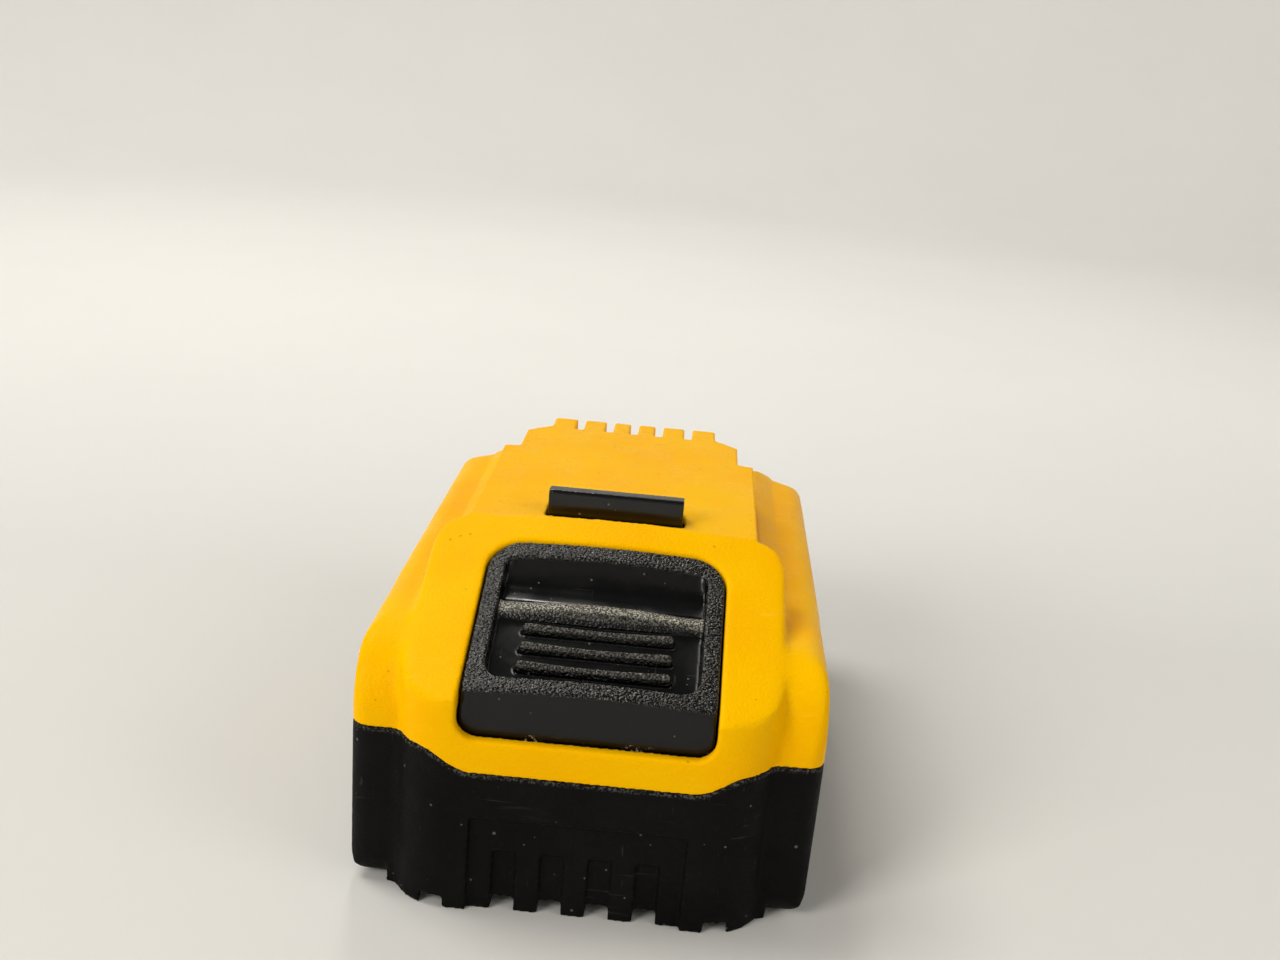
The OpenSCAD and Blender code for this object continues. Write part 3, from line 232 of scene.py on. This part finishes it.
# %% The floor of the thumb scoop, a little deeper than the latch's skin allows in CAD
SCOOP_HALF, SCOOP_FRONT, SCOOP_BACK, CREST_Y, SCOOP_DEPTH = 17.1, -52.8, -26.9, -37, 1.6
SCOOP_SINK = 1.0
BASIN_FLAT, BASIN_KNEE, BASIN_TOP, KNEE_RISE = -34, -30, -27, 1.4
SKIN_HALF = 0.65
CREST_FADE, RIM_FADE = (0.8, 3.6), (0.3, 1.2)


def scoop_floor(y):
    level = cowl_top(0, CREST_Y) - SCOOP_DEPTH
    knee = level + KNEE_RISE
    if y < CREST_Y:
        return cowl_top(0, y) - SCOOP_DEPTH
    if y < BASIN_FLAT:
        return level
    if y < BASIN_KNEE:
        return level + KNEE_RISE * (y - BASIN_FLAT) / (BASIN_KNEE - BASIN_FLAT)
    return knee + (cowl_top(0, BASIN_TOP) - knee) * (y - BASIN_KNEE) / (BASIN_TOP - BASIN_KNEE)


def latch_sink(p):
    in_scoop = abs(p.x) < SCOOP_HALF and SCOOP_FRONT < p.y < SCOOP_BACK
    if not in_scoop or p.z < scoop_floor(p.y) - SKIN_HALF:
        return 0
    off_crest = fade(abs(p.y - CREST_Y), *CREST_FADE)
    return SCOOP_SINK * off_crest * fade(cowl_top(p.x, p.y) - p.z, *RIM_FADE)


# %% The release latch: a soft front edge and basin, crisper ribs and tongue
TONGUE_Y, FRONT_Y, FRONT_Z = -23, -54, 35.5
TONGUE_MELT, FRONT_MELT, LATCH_MELT = 0.2, 0.9, 0.28
# Half width, front, back and melt of the ribs, the basin and the whole scoop
SCOOP_MELTS = ((13.2, -50.6, -40.2, 0.14), (16.6, -36.4, -27.6, 1.0), (18.2, -53.8, -25.8, 0.42))


def latch_melt(p):
    if p.y > TONGUE_Y:
        return TONGUE_MELT
    if p.y < FRONT_Y and p.z > FRONT_Z:
        return FRONT_MELT
    for half, front, back, melt in SCOOP_MELTS:
        if abs(p.x) < half and front < p.y < back:
            return melt
    return LATCH_MELT


latch = moulding(
    "release_latch", "latch", "release_latch",
    voxel=0.22, melt_at=latch_melt, triangles=150000, sink_at=latch_sink,
)

# %% The gauge's push button at the back, melted alike all over
GAUGE_MELT = 0.25
gauge_button = moulding(
    "gauge_button", "gauge_push", "gauge_button",
    voxel=0.14, melt_at=lambda p: GAUGE_MELT, triangles=16000,
)

# %% [markdown]
# ## Latch springs
# Two coil springs stand under the latch, and they shorten when the latch is pushed down.
# A Screw modifier could make the coil, but a small circle spun round an axis, with a lift at every
# step, leaves it as a plain mesh at once.

# %% Spin a coil of wire
WIRE, WIRE_SIDES, COIL_RADIUS, TURNS, STEPS_PER_TURN = 0.7 * MM, 12, 2.7 * MM, 7, 28


def coil_spring(node, name):
    low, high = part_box(node)
    middle = (low + high) / 2
    foot = Vector((middle.x, middle.y, low.z + WIRE / 2))
    steps = TURNS * STEPS_PER_TURN
    rise = (high.z - low.z - WIRE) / steps
    shape = bmesh.new()
    place = Matrix.Translation(foot + Vector((COIL_RADIUS, 0, 0)))
    place = place @ Matrix.Rotation(math.pi / 2, 4, "X")
    bmesh.ops.create_circle(shape, segments=WIRE_SIDES, radius=WIRE / 2, matrix=place)
    bmesh.ops.spin(
        shape, geom=shape.verts[:] + shape.edges[:], cent=foot, axis=(0, 0, 1),
        dvec=(0, 0, rise), angle=2 * math.pi * TURNS, steps=steps, use_merge=False,
    )
    bmesh.ops.holes_fill(shape, edges=[e for e in shape.edges if e.is_boundary], sides=0)
    bmesh.ops.recalc_face_normals(shape, faces=shape.faces)
    for face in shape.faces:
        face.smooth = len(face.verts) == 4
    mesh = bpy.data.meshes.new(name)
    shape.to_mesh(mesh)
    shape.free()
    piece = bpy.data.objects.new(name, mesh)
    scene.collection.objects.link(piece)
    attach(piece, "housing")
    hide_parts(node)
    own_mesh(piece)
    return piece


springs = [
    coil_spring("latch_spring_left", "spring_left"),
    coil_spring("latch_spring_right", "spring_right"),
]

# %% [markdown]
# ## Shared effects
# Grain, scuffs, dust, mottling and drawn lines come back on many of the pieces.
# Each is one node group with its own inputs, so that a material only says how much of it there is.


# %% A helper that adds nodes to a tree and joins them
class Tree:
    def __init__(self, tree):
        self.tree = tree

    def add(self, kind, settings=(), **inputs):
        node = self.tree.nodes.new(kind)
        for key, value in dict(settings).items():
            setattr(node, key, value)
        for key, value in inputs.items():
            self.feed(node, key.replace("_", " "), value)
        return node

    def feed(self, node, key, value):
        socket = node.inputs[key]
        if isinstance(value, bpy.types.NodeSocket):
            self.tree.links.new(value, socket)
        else:
            socket.default_value = value

    def math(self, operation, *values):
        node = self.add("ShaderNodeMath", {"operation": operation})
        for index, value in enumerate(values):
            self.feed(node, index, value)
        return node.outputs[0]

    def both(self, *masks):
        joined = masks[0]
        for mask in masks[1:]:
            joined = self.math("MULTIPLY", joined, mask)
        return joined

    def ramp(self, value, low, high, to_low=0.0, to_high=1.0):
        node = self.add(
            "ShaderNodeMapRange", {"interpolation_type": "SMOOTHSTEP"}, Value=value,
            From_Min=low, From_Max=high, To_Min=to_low, To_Max=to_high,
        )
        return node.outputs[0]

    def mix(self, amount, a, b):
        node = self.add("ShaderNodeMix", {"data_type": "RGBA"})
        for index, value in ((0, amount), (6, a), (7, b)):
            self.feed(node, index, value)
        return node.outputs[2]

    def noise(self, vector, scale, detail=3.0, rough=0.5):
        node = self.add(
            "ShaderNodeTexNoise", Vector=vector, Scale=scale, Detail=detail, Roughness=rough
        )
        return node.outputs[0]

    def stretched(self, vector, scale, turn=(0, 0, 0)):
        return self.add("ShaderNodeMapping", Vector=vector, Rotation=turn, Scale=scale).outputs[0]

    def axes(self, vector):
        return self.add("ShaderNodeSeparateXYZ", Vector=vector).outputs

    def use(self, group, place, **inputs):
        return self.add("ShaderNodeGroup", {"node_tree": group}, Vector=place, **inputs).outputs[0]


def new_group(name, output, **inputs):
    group = bpy.data.node_groups.new(name, "ShaderNodeTree")
    group.interface.new_socket("Vector", in_out="INPUT", socket_type="NodeSocketVector")
    for label, value in inputs.items():
        kind = "NodeSocketVector" if isinstance(value, tuple) else "NodeSocketFloat"
        socket = group.interface.new_socket(
            label.replace("_", " "), in_out="INPUT", socket_type=kind
        )
        socket.default_value = value
    group.interface.new_socket(output, in_out="OUTPUT", socket_type="NodeSocketFloat")
    ins, outs = group.nodes.new("NodeGroupInput"), group.nodes.new("NodeGroupOutput")
    print("shared effect:", name)
    return group, Tree(group), ins.outputs, outs


# %% Moulded grain: small rounded pebbles with finer noise between them
grain_group, tree, given, out = new_group("moulded grain", "Height", Grains_per_metre=1500.0)
cells = tree.add(
    "ShaderNodeTexVoronoi", {"feature": "SMOOTH_F1"},
    Vector=given[0], Scale=given[1], Smoothness=0.6,
)
pebbles = tree.math("SUBTRACT", 1.0, cells.outputs["Distance"])
fine = tree.noise(given[0], tree.math("MULTIPLY", given[1], 1.7), 2.0)
tree.feed(out, "Height", tree.math("MULTIPLY_ADD", fine, 0.5, pebbles))

# %% Scuffs: short thin scratches that run three ways across the piece
scuff_group, tree, given, out = new_group("scuffs", "Mask", Amount=0.5)
lines = []
for turn, stretch in ((0.5, (60, 2600, 260)), (-0.9, (2200, 50, 300)), (1.9, (90, 300, 2400))):
    streak = tree.noise(tree.stretched(given[0], stretch, (0.2, 0.3 * turn, turn)), 1.0, 2.0)
    lines.append(tree.ramp(streak, 0.69, 0.74))
any_line = tree.math("MAXIMUM", tree.math("MAXIMUM", lines[0], lines[1]), lines[2])
patches = tree.ramp(tree.noise(given[0], 70.0), 0.48, 0.62)
tree.feed(out, "Mask", tree.math("MULTIPLY", tree.math("MULTIPLY", any_line, patches), given[1]))

# %% Dust: scattered specks of many sizes
dust_group, tree, given, out = new_group("dust", "Mask", Specks_per_metre=500.0, Amount=0.5)
specks = tree.add("ShaderNodeTexVoronoi", Vector=given[0], Scale=given[1])
chance = tree.add("ShaderNodeSeparateColor", Color=specks.outputs["Color"]).outputs[0]
inside = tree.math("LESS_THAN", specks.outputs["Distance"], tree.ramp(chance, 0.8, 1.0, 0.0, 0.16))
tree.feed(out, "Mask", tree.math("MULTIPLY", inside, given[2]))

# %% Mottling: soft clouds with finer ones inside them
mottle_group, tree, given, out = new_group("mottling", "Tone", Clouds_per_metre=60.0)
tree.feed(out, "Tone", tree.ramp(tree.noise(given[0], given[1], 4.0, 0.55), 0.3, 0.7))

# %% Drawn lines: the fine parallel marks that rolling and drawing leave on metal
drawn_group, tree, given, out = new_group("drawn lines", "Height", Stretch=(4000.0, 4000.0, 80.0))
stretched = tree.add("ShaderNodeVectorMath", {"operation": "MULTIPLY"})
tree.feed(stretched, 0, given[0])
tree.feed(stretched, 1, given[1])
tree.feed(out, "Height", tree.noise(stretched.outputs[0], 1.0, 3.0))

# %% [markdown]
# ## Plastics that show
# The yellow shell has a fine pebble grain, the black shell is duller and carries pale scratches.
# The latch is glossy: pebbles on its rim, crest and ribs, and smooth plastic in the scoop and on
# its front. Pale specks painted into its colour stand for the many small glints of the pebbles, and
# a painted highlight lies on its crest and the tops of its ribs.


# %% A material starts as a Principled shader that reads the piece's own coordinates
def new_material(name, **constants):
    material = bpy.data.materials.new(name)
    material.use_nodes = True
    shader = material.node_tree.nodes["Principled BSDF"]
    for key, value in constants.items():
        shader.inputs[key.replace("_", " ")].default_value = value
    tree = Tree(material.node_tree)
    print("material:", name)
    return material, tree, shader, tree.add("ShaderNodeTexCoord").outputs["Object"]


def bump(tree, shader, height, depth, strength):
    node = tree.add("ShaderNodeBump", Height=height, Distance=depth, Strength=strength)
    tree.feed(shader, "Normal", node.outputs[0])


def srgb(*values):
    shares = [v / 255 for v in values]
    light = [s / 12.92 if s <= 0.04045 else ((s + 0.055) / 1.055) ** 2.4 for s in shares]
    return (*light, 1.0)


# %% Short ways to lay the shared effects over a colour, and to vary the gloss
def mottled(tree, place, clouds, dark, light):
    return tree.mix(tree.use(mottle_group, place, Clouds_per_metre=clouds), dark, light)


def scuffed(tree, place, tone, amount, colour):
    return tree.mix(tree.use(scuff_group, place, Amount=amount), tone, colour)


def dusted(tree, place, tone, specks, amount, colour):
    dust = tree.use(dust_group, place, Specks_per_metre=specks, Amount=amount)
    return tree.mix(dust, tone, colour)


def gloss(tree, shader, place, clouds, low, high):
    rough = tree.use(mottle_group, place, Clouds_per_metre=clouds)
    tree.feed(shader, "Roughness", tree.ramp(rough, 0.0, 1.0, low, high))


# %% Yellow shell: grained plastic, a little grubby
yellow, tree, shader, place = new_material("yellow grained plastic", Specular_IOR_Level=0.02)
tone = mottled(tree, place, 45.0, srgb(254, 184, 0), srgb(255, 193, 0))
tone = scuffed(tree, place, tone, 0.3, srgb(255, 208, 60))
tone = dusted(tree, place, tone, 620.0, 0.35, srgb(110, 74, 8))
tree.feed(shader, "Base Color", tone)
gloss(tree, shader, place, 160.0, 0.26, 0.4)
bump(tree, shader, tree.use(grain_group, place, Grains_per_metre=2100.0), 0.0001, 0.6)


# %% Height of the parting line, worked out again in nodes for the worn rim
def below_parting(tree, place):
    x, y, z = tree.axes(place)
    level = tree.ramp(
        tree.math("ABSOLUTE", x), DIP_LEVEL * MM, DIP_FOOT * MM,
        (PART_Z - PART_DIP) * MM, PART_Z * MM,
    )
    behind = tree.math("GREATER_THAN", y, DIP_BACK * MM)
    level = tree.math("MAXIMUM", level, tree.math("MULTIPLY", behind, PART_Z * MM))
    return tree.math("SUBTRACT", level, z)


# %% Black shell: dull, with pale scratches, specks and a rim worn grey
black, tree, shader, place = new_material("black grained plastic", Specular_IOR_Level=0.09)
tone = mottled(tree, place, 60.0, srgb(6, 6, 6), srgb(12, 12, 11))
tone = scuffed(tree, place, tone, 0.3, srgb(84, 84, 84))
tone = dusted(tree, place, tone, 600.0, 0.5, srgb(120, 118, 114))
rim = tree.ramp(below_parting(tree, place), 0.4 * MM, 1.0 * MM, 0.8, 0.0)
worn = tree.ramp(tree.noise(place, 2600.0, 2.0, 0.6), 0.46, 0.64)
tone = tree.mix(tree.both(rim, worn), tone, srgb(84, 83, 80))
tree.feed(shader, "Base Color", tone)
gloss(tree, shader, place, 130.0, 0.54, 0.64)
bump(tree, shader, tree.use(grain_group, place, Grains_per_metre=1700.0), 0.0001, 0.5)

# %% Latch: find its rim, its crest and its ribs by their height
TONGUE_FROM, CREST_BACK, RIBS_FRONT, FLOOR_HALF = -22 * MM, -34.5 * MM, -51.5 * MM, 16.8 * MM
# How much of the crest's painted highlight the rib tops get
RIB_HIGHLIGHT_SHARE = 0.22
latch_black, tree, shader, place = new_material(
    "black latch plastic", Specular_IOR_Level=0.32, Coat_Roughness=0.12
)
x, y, z = tree.axes(place)
line = tree.math("MULTIPLY_ADD", y, COWL_SLOPE, (RIDGE_Z - RIDGE_Y * COWL_SLOPE) * MM)
crown = tree.math("MULTIPLY", tree.math("MULTIPLY", x, x), 1 / COWL_CROWN / MM)
sunk = tree.math("SUBTRACT", tree.math("SUBTRACT", line, crown), z)
on_rim = tree.both(
    tree.ramp(sunk, 0.5 * MM, 0.8 * MM, 1.0, 0.0), tree.math("LESS_THAN", y, TONGUE_FROM)
)
floor_line = tree.math("SUBTRACT", line, (SCOOP_DEPTH + SCOOP_SINK) * MM)
over_floor = tree.math("SUBTRACT", z, floor_line)
on_rib = tree.both(
    tree.ramp(over_floor, 0.3 * MM, 0.6 * MM),
    tree.math("LESS_THAN", y, CREST_BACK),
    tree.math("LESS_THAN", tree.math("ABSOLUTE", x), FLOOR_HALF),
    tree.math("GREATER_THAN", y, RIBS_FRONT),
)
# The crest, and the rib tops more faintly, get a painted highlight: a paler colour where light from
# behind catches them
from_crest = tree.math("ABSOLUTE", tree.math("SUBTRACT", y, CREST_Y * MM))
crest = tree.ramp(from_crest, 1.0 * MM, 2.2 * MM, 1.0, 0.0)
rib_top = tree.ramp(over_floor, 1.15 * MM, 1.4 * MM)
painted_crest_highlight = tree.both(on_rib, tree.math("MAXIMUM", crest, tree.math("MULTIPLY", rib_top, RIB_HIGHLIGHT_SHARE)))

# %% Latch: its colour, with dust, crumbs along the lip, and pale specks painted on the rim, crest and rib tops as highlights
LIP_TOP, LIP_FRONT = 31.3 * MM, -54 * MM
tone = scuffed(tree, place, srgb(6, 6, 6), 0.3, srgb(78, 76, 72))
tone = dusted(tree, place, tone, 800.0, 0.4, srgb(150, 142, 120))
crumbs = tree.both(
    tree.math("LESS_THAN", z, LIP_TOP),
    tree.math("LESS_THAN", y, LIP_FRONT),
    tree.ramp(tree.noise(place, 130.0), 0.5, 0.58),
    tree.ramp(tree.noise(place, 1700.0, 4.0, 0.7), 0.58, 0.62),
)
tone = tree.mix(crumbs, tone, srgb(160, 148, 112))
# Painted highlights: pale specks on the rim's pebbles stand for their glints, and denser ones on
# the crest and rib tops for the light they catch
speckle = tree.noise(place, 3300.0, 2.0, 0.6)
glints = tree.both(on_rim, tree.ramp(speckle, 0.56, 0.66, 0.0, 0.26))
crest_highlight_specks = tree.both(painted_crest_highlight, tree.ramp(speckle, 0.47, 0.6, 0.08, 0.9))
tone = tree.mix(tree.math("MAXIMUM", glints, crest_highlight_specks), tone, srgb(190, 185, 168))
tree.feed(shader, "Base Color", tone)

# %% Latch: its gloss, a shinier tongue, and the pebbles themselves
gloss(tree, shader, place, 150.0, 0.17, 0.27)
on_tongue = tree.math("GREATER_THAN", y, TONGUE_FROM)
tree.feed(shader, "Coat Weight", tree.math("MULTIPLY", on_tongue, 0.3))
grain = tree.use(grain_group, place, Grains_per_metre=2200.0)
pebbled = tree.math("MAXIMUM", on_rim, on_rib)
fine = tree.math("MULTIPLY", tree.noise(place, 900.0, 2.0), 0.05)
bump(tree, shader, tree.math("MULTIPLY_ADD", grain, pebbled, fine), 0.0002, 0.85)

# %% Gauge button: dull rubber
rubber, tree, shader, place = new_material("gauge rubber", Specular_IOR_Level=0.25)
tone = mottled(tree, place, 300.0, srgb(13, 13, 13), srgb(22, 22, 22))
tone = dusted(tree, place, tone, 900.0, 0.5, srgb(110, 108, 104))
tree.feed(shader, "Base Color", tone)
gloss(tree, shader, place, 500.0, 0.6, 0.78)
bump(tree, shader, tree.use(grain_group, place, Grains_per_metre=3200.0), 0.00006, 0.5)

# %% Gauge lens: smoked clear plastic with faint wipe marks
smoke, tree, shader, place = new_material("smoked lens", Transmission_Weight=0.75, IOR=1.49)
tone = scuffed(tree, place, srgb(58, 56, 54), 0.4, srgb(120, 118, 114))
tree.feed(shader, "Base Color", tone)
gloss(tree, shader, place, 400.0, 0.08, 0.2)
bump(tree, shader, tree.noise(place, 700.0), 0.00002, 0.3)

# %% [markdown]
# ## Finishes inside the pack
# Most of the inside never shows, but a part in a library is opened and looked into.
# Plastics, paper and foam differ in tone, gloss and grain, so one function makes them from a few
# values.
# Metals add drawn lines, and the boards and the ribbon get patterns of their own.


# %% Moulded and sheet materials
def dull_finish(name, dark, light, clouds, shine, grains, depth, **constants):
    material, tree, shader, place = new_material(name, **constants)
    tone = mottled(tree, place, clouds, dark, light)
    shade = (*(0.5 * v for v in dark[:3]), 1.0)
    tree.feed(shader, "Base Color", dusted(tree, place, tone, clouds * 6, 0.25, shade))
    gloss(tree, shader, place, clouds * 3, *shine)
    bump(tree, shader, tree.use(grain_group, place, Grains_per_metre=grains), depth, 0.5)
    return material


grey_plastic = dull_finish(
    "grey holder plastic", srgb(86, 88, 90), srgb(102, 104, 106),
    60.0, (0.4, 0.55), 2200.0, 0.00005,
)
cell_wrap = dull_finish(
    "cell shrink wrap", srgb(30, 84, 112), srgb(38, 98, 128),
    40.0, (0.2, 0.34), 500.0, 0.00003, Coat_Weight=0.3,
)
ring_paper = dull_finish(
    "ring paper", srgb(196, 194, 184), srgb(218, 216, 206),
    300.0, (0.75, 0.9), 3000.0, 0.00004,
)
sheet_paper = dull_finish(
    "insulating sheet", srgb(62, 70, 74), srgb(78, 86, 90),
    240.0, (0.6, 0.78), 2600.0, 0.00004,
)
foam = dull_finish(
    "closed cell foam", srgb(30, 30, 32), srgb(48, 48, 50),
    500.0, (0.85, 0.98), 1600.0, 0.0002,
)
epoxy = dull_finish(
    "component epoxy", srgb(18, 18, 20), srgb(30, 30, 32),
    400.0, (0.45, 0.65), 5000.0, 0.00003,
)
block_plastic = dull_finish(
    "terminal block plastic", srgb(24, 24, 26), srgb(36, 36, 38),
    120.0, (0.35, 0.5), 2600.0, 0.00004,
)
lamp_resin = dull_finish(
    "lamp resin", srgb(212, 214, 208), srgb(232, 234, 228),
    900.0, (0.12, 0.24), 4000.0, 0.00001, IOR=1.5,
)


# %% Metals
def metal_finish(name, dark, light, shine, stretch, tarnish):
    material, tree, shader, place = new_material(name, Metallic=1.0)
    tone = mottled(tree, place, 220.0, dark, light)
    stain = tree.ramp(tree.noise(place, 420.0, 4.0), 0.56, 0.72, 0.0, 0.6)
    tree.feed(shader, "Base Color", tree.mix(stain, tone, tarnish))
    lines = tree.use(drawn_group, place, Stretch=stretch)
    tree.feed(shader, "Roughness", tree.ramp(lines, 0.3, 0.7, *shine))
    bump(tree, shader, lines, 0.00002, 0.35)
    return material


spring_steel = metal_finish(
    "spring wire", srgb(150, 148, 144), srgb(176, 174, 170),
    (0.24, 0.4), (900.0, 900.0, 5200.0), srgb(110, 104, 96),
)
screw_steel = metal_finish(
    "zinc plated steel", srgb(140, 142, 144), srgb(172, 174, 176),
    (0.3, 0.46), (2200.0, 2200.0, 300.0), srgb(104, 102, 98),
)
nickel = metal_finish(
    "nickel strip", srgb(176, 172, 162), srgb(198, 194, 184),
    (0.26, 0.4), (300.0, 120.0, 4200.0), srgb(140, 132, 118),
)
brass = metal_finish(
    "plated contact brass", srgb(196, 160, 92), srgb(216, 182, 112),
    (0.22, 0.38), (3600.0, 160.0, 3600.0), srgb(150, 116, 66),
)

# %% Circuit board: solder mask with paler copper tracks under it
board, tree, shader, place = new_material("green circuit board", Specular_IOR_Level=0.5)
x, y, z = tree.axes(place)
grid = tree.add("ShaderNodeCombineXYZ", X=x, Y=y, Z=tree.math("MULTIPLY", z, 0.8)).outputs[0]
tracks = tree.add(
    "ShaderNodeTexVoronoi", {"feature": "DISTANCE_TO_EDGE", "distance": "MANHATTAN"},
    Vector=grid, Scale=210.0,
)
copper = tree.ramp(tracks.outputs["Distance"], 0.07, 0.1)
tone = mottled(tree, place, 120.0, srgb(10, 62, 36), srgb(14, 74, 44))
tree.feed(shader, "Base Color", tree.mix(copper, srgb(34, 104, 62), tone))
gloss(tree, shader, place, 400.0, 0.25, 0.4)
bump(tree, shader, copper, 0.00003, 0.4)

# %% Ribbon: amber film over a row of flat conductors
CONDUCTOR_PITCH = 1.2 * MM
film, tree, shader, place = new_material("ribbon film", Specular_IOR_Level=0.5)
across = tree.axes(place)[0]
wave = tree.math("SINE", tree.math("MULTIPLY", across, 2 * math.pi / CONDUCTOR_PITCH))
conductor = tree.ramp(wave, -0.1, 0.1)
tone = tree.mix(conductor, srgb(150, 84, 22), srgb(196, 128, 52))
tree.feed(shader, "Base Color", mottled(tree, place, 300.0, tone, srgb(170, 100, 34)))
gloss(tree, shader, place, 500.0, 0.18, 0.32)
bump(tree, shader, conductor, 0.00003, 0.5)


# %% [markdown]
# ## Dress every piece
# A new piece gets its finish as its only material, and each material slot of a CAD piece gets the
# finish listed for it.


# %% New pieces
def dress(piece, material):
    piece.data.materials.clear()
    piece.data.materials.append(material)
    print(piece.name, "wears", material.name)


dress(top_shell, yellow)
dress(bottom_shell, black)
dress(latch, latch_black)
dress(gauge_button, rubber)
for spring in springs:
    dress(spring, spring_steel)

# %% Pieces that stay as they are in CAD
FINISHES = {
    grey_plastic: ["latch_guide", "cell_holder_left", "cell_holder_right"],
    screw_steel: ["housing_screws", "board_screws"],
    cell_wrap: [f"cell_{n}" for n in range(1, 11)],
    ring_paper: ["cell_rings"],
    nickel: [f"strap_{n}" for n in range(1, 7)],
    sheet_paper: ["strap_sheet_left", "strap_sheet_right"],
    foam: ["foam_pads"],
    board: ["battery_board", "gauge_board"],
    epoxy: ["board_components", "thermistor"],
    block_plastic: ["terminal_block"],
    brass: ["terminal_positive", "terminal_negative", "signal_terminals"],
    lamp_resin: ["gauge_lamps"],
    smoke: ["gauge_lens"],
    film: ["gauge_ribbon"],
}
for material, nodes in FINISHES.items():
    for node in nodes:
        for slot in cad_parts[node].material_slots:
            slot.material = material
print("CAD pieces dressed:", sum(len(nodes) for nodes in FINISHES.values()))

# %% [markdown]
# ## Stage, light and camera
# The floor rises into a backdrop all round the pack, so that no horizon line shows from any side.
# The main lamp hangs high on the left, out of the line where the scoop's smooth floor would mirror
# it. A smaller one behind gives the pebbles their glints.
# Two more lamps light the front and the right, one lights the backdrop, and the sky is dim so that
# black stays black.

# %% Floor that curves up into a round backdrop
FLOOR_RADIUS, BEND_RADIUS, WALL_HEIGHT = 0.9, 0.6, 0.9
BEND_STEPS, ROUND_STEPS = 14, 64
JOIN = 0.01 * MM
sheet = bmesh.new()
centre, edge_of_floor = (sheet.verts.new((0, reach, 0)) for reach in (0, FLOOR_RADIUS))
sheet.edges.new((centre, edge_of_floor))
bend = bmesh.ops.spin(
    sheet, geom=[edge_of_floor], cent=(0, FLOOR_RADIUS, BEND_RADIUS), axis=(1, 0, 0),
    dvec=(0, 0, 0), angle=math.pi / 2, steps=BEND_STEPS, use_merge=False,
)["geom_last"]
foot_of_wall = [g for g in bend if isinstance(g, bmesh.types.BMVert)]
wall = bmesh.ops.extrude_vert_indiv(sheet, verts=foot_of_wall)["verts"]
bmesh.ops.translate(sheet, verts=wall, vec=(0, 0, WALL_HEIGHT))
bmesh.ops.spin(
    sheet, geom=sheet.verts[:] + sheet.edges[:], cent=(0, 0, 0), axis=(0, 0, 1),
    dvec=(0, 0, 0), angle=2 * math.pi, steps=ROUND_STEPS, use_merge=True,
)
bmesh.ops.remove_doubles(sheet, verts=sheet.verts, dist=JOIN)
bmesh.ops.recalc_face_normals(sheet, faces=sheet.faces)
if sheet.faces[0].normal.z < 0:
    bmesh.ops.reverse_faces(sheet, faces=sheet.faces)
for face in sheet.faces:
    face.smooth = True
mesh = bpy.data.meshes.new("floor")
sheet.to_mesh(mesh)
sheet.free()
floor = bpy.data.objects.new("floor", mesh)
scene.collection.objects.link(floor)
pale, tree, shader, place = new_material("pale floor", Specular_IOR_Level=0.2)
tone = mottled(tree, place, 6.0, srgb(222, 221, 218), srgb(224, 223, 220))
tree.feed(shader, "Base Color", tone)
tree.feed(shader, "Roughness", tree.ramp(tree.noise(place, 30.0), 0.2, 0.8, 0.7, 0.85))
floor.data.materials.append(pale)
print("floor faces:", len(mesh.polygons))

# %% Soft lamps and a dim sky
PACK = Vector((0, -0.01, 0.03))
SKY_STRENGTH = 0.12


def soft_lamp(name, place, size, power, colour, aim=PACK):
    lamp = bpy.data.lights.new(name, "AREA")
    lamp.size = size
    lamp.energy = power
    lamp.color = colour
    holder = bpy.data.objects.new(name, lamp)
    holder.location = place
    holder.rotation_euler = (aim - Vector(place)).to_track_quat("-Z", "Y").to_euler()
    scene.collection.objects.link(holder)
    print("lamp:", name, "power:", power, "W")


WARM, NEARLY_WHITE = (1.0, 0.97, 0.92), (1.0, 0.99, 0.94)
BACKDROP = Vector((0, 1.5, 0.85))
soft_lamp("key", (-0.62, 0.22, 1.2), 0.6, 7.3, NEARLY_WHITE)
soft_lamp("glint", (-0.2, 0.85, 1.05), 0.15, 2.6, WARM)
soft_lamp("front", (-0.62, -0.68, 0.55), 0.4, 4.9, WARM)
soft_lamp("fill", (0.75, -0.4, 0.6), 0.5, 1.7, WARM)
soft_lamp("backdrop", (0, 0.15, 0.95), 1.2, 6.0, WARM, BACKDROP)
sky = bpy.data.worlds.new("sky")
sky.use_nodes = True
sky.node_tree.nodes["Background"].inputs["Color"].default_value = (1, 1, 1, 1)
sky.node_tree.nodes["Background"].inputs["Strength"].default_value = SKY_STRENGTH
scene.world = sky
scene.view_settings.view_transform = "Standard"

# %% Camera at the photograph's viewing angle
IMAGE_WIDTH, FOCAL_LENGTH, PRINCIPAL_SHIFT = 1280, 1475, 81
SENSOR, NEAREST = 36, 0.01
CAMERA_PLACE = Vector((10.7, -260.7, 137.5)) * MM
yaw, pitch, roll = (math.radians(v) for v in (-1.32, 20.25, 5.0))
level = Vector((math.sin(yaw), math.cos(yaw), 0))
ahead = math.cos(pitch) * level - Vector((0, 0, math.sin(pitch)))
right = Vector((math.cos(yaw), -math.sin(yaw), 0))
up = right.cross(ahead)
right, up = (
    math.cos(roll) * right + math.sin(roll) * up,
    math.cos(roll) * up - math.sin(roll) * right,
)
lens = bpy.data.cameras.new("camera")
lens.sensor_width = SENSOR
lens.lens = SENSOR * FOCAL_LENGTH / IMAGE_WIDTH
lens.shift_y = PRINCIPAL_SHIFT / IMAGE_WIDTH
lens.clip_start = NEAREST
camera = bpy.data.objects.new("camera", lens)
turned = Matrix((right, up, -ahead)).transposed().to_4x4()
turned.translation = CAMERA_PLACE
camera.matrix_world = turned
scene.collection.objects.link(camera)
scene.camera = camera
print("camera at", [round(v / MM, 1) for v in CAMERA_PLACE], "mm, lens", round(lens.lens, 1), "mm")
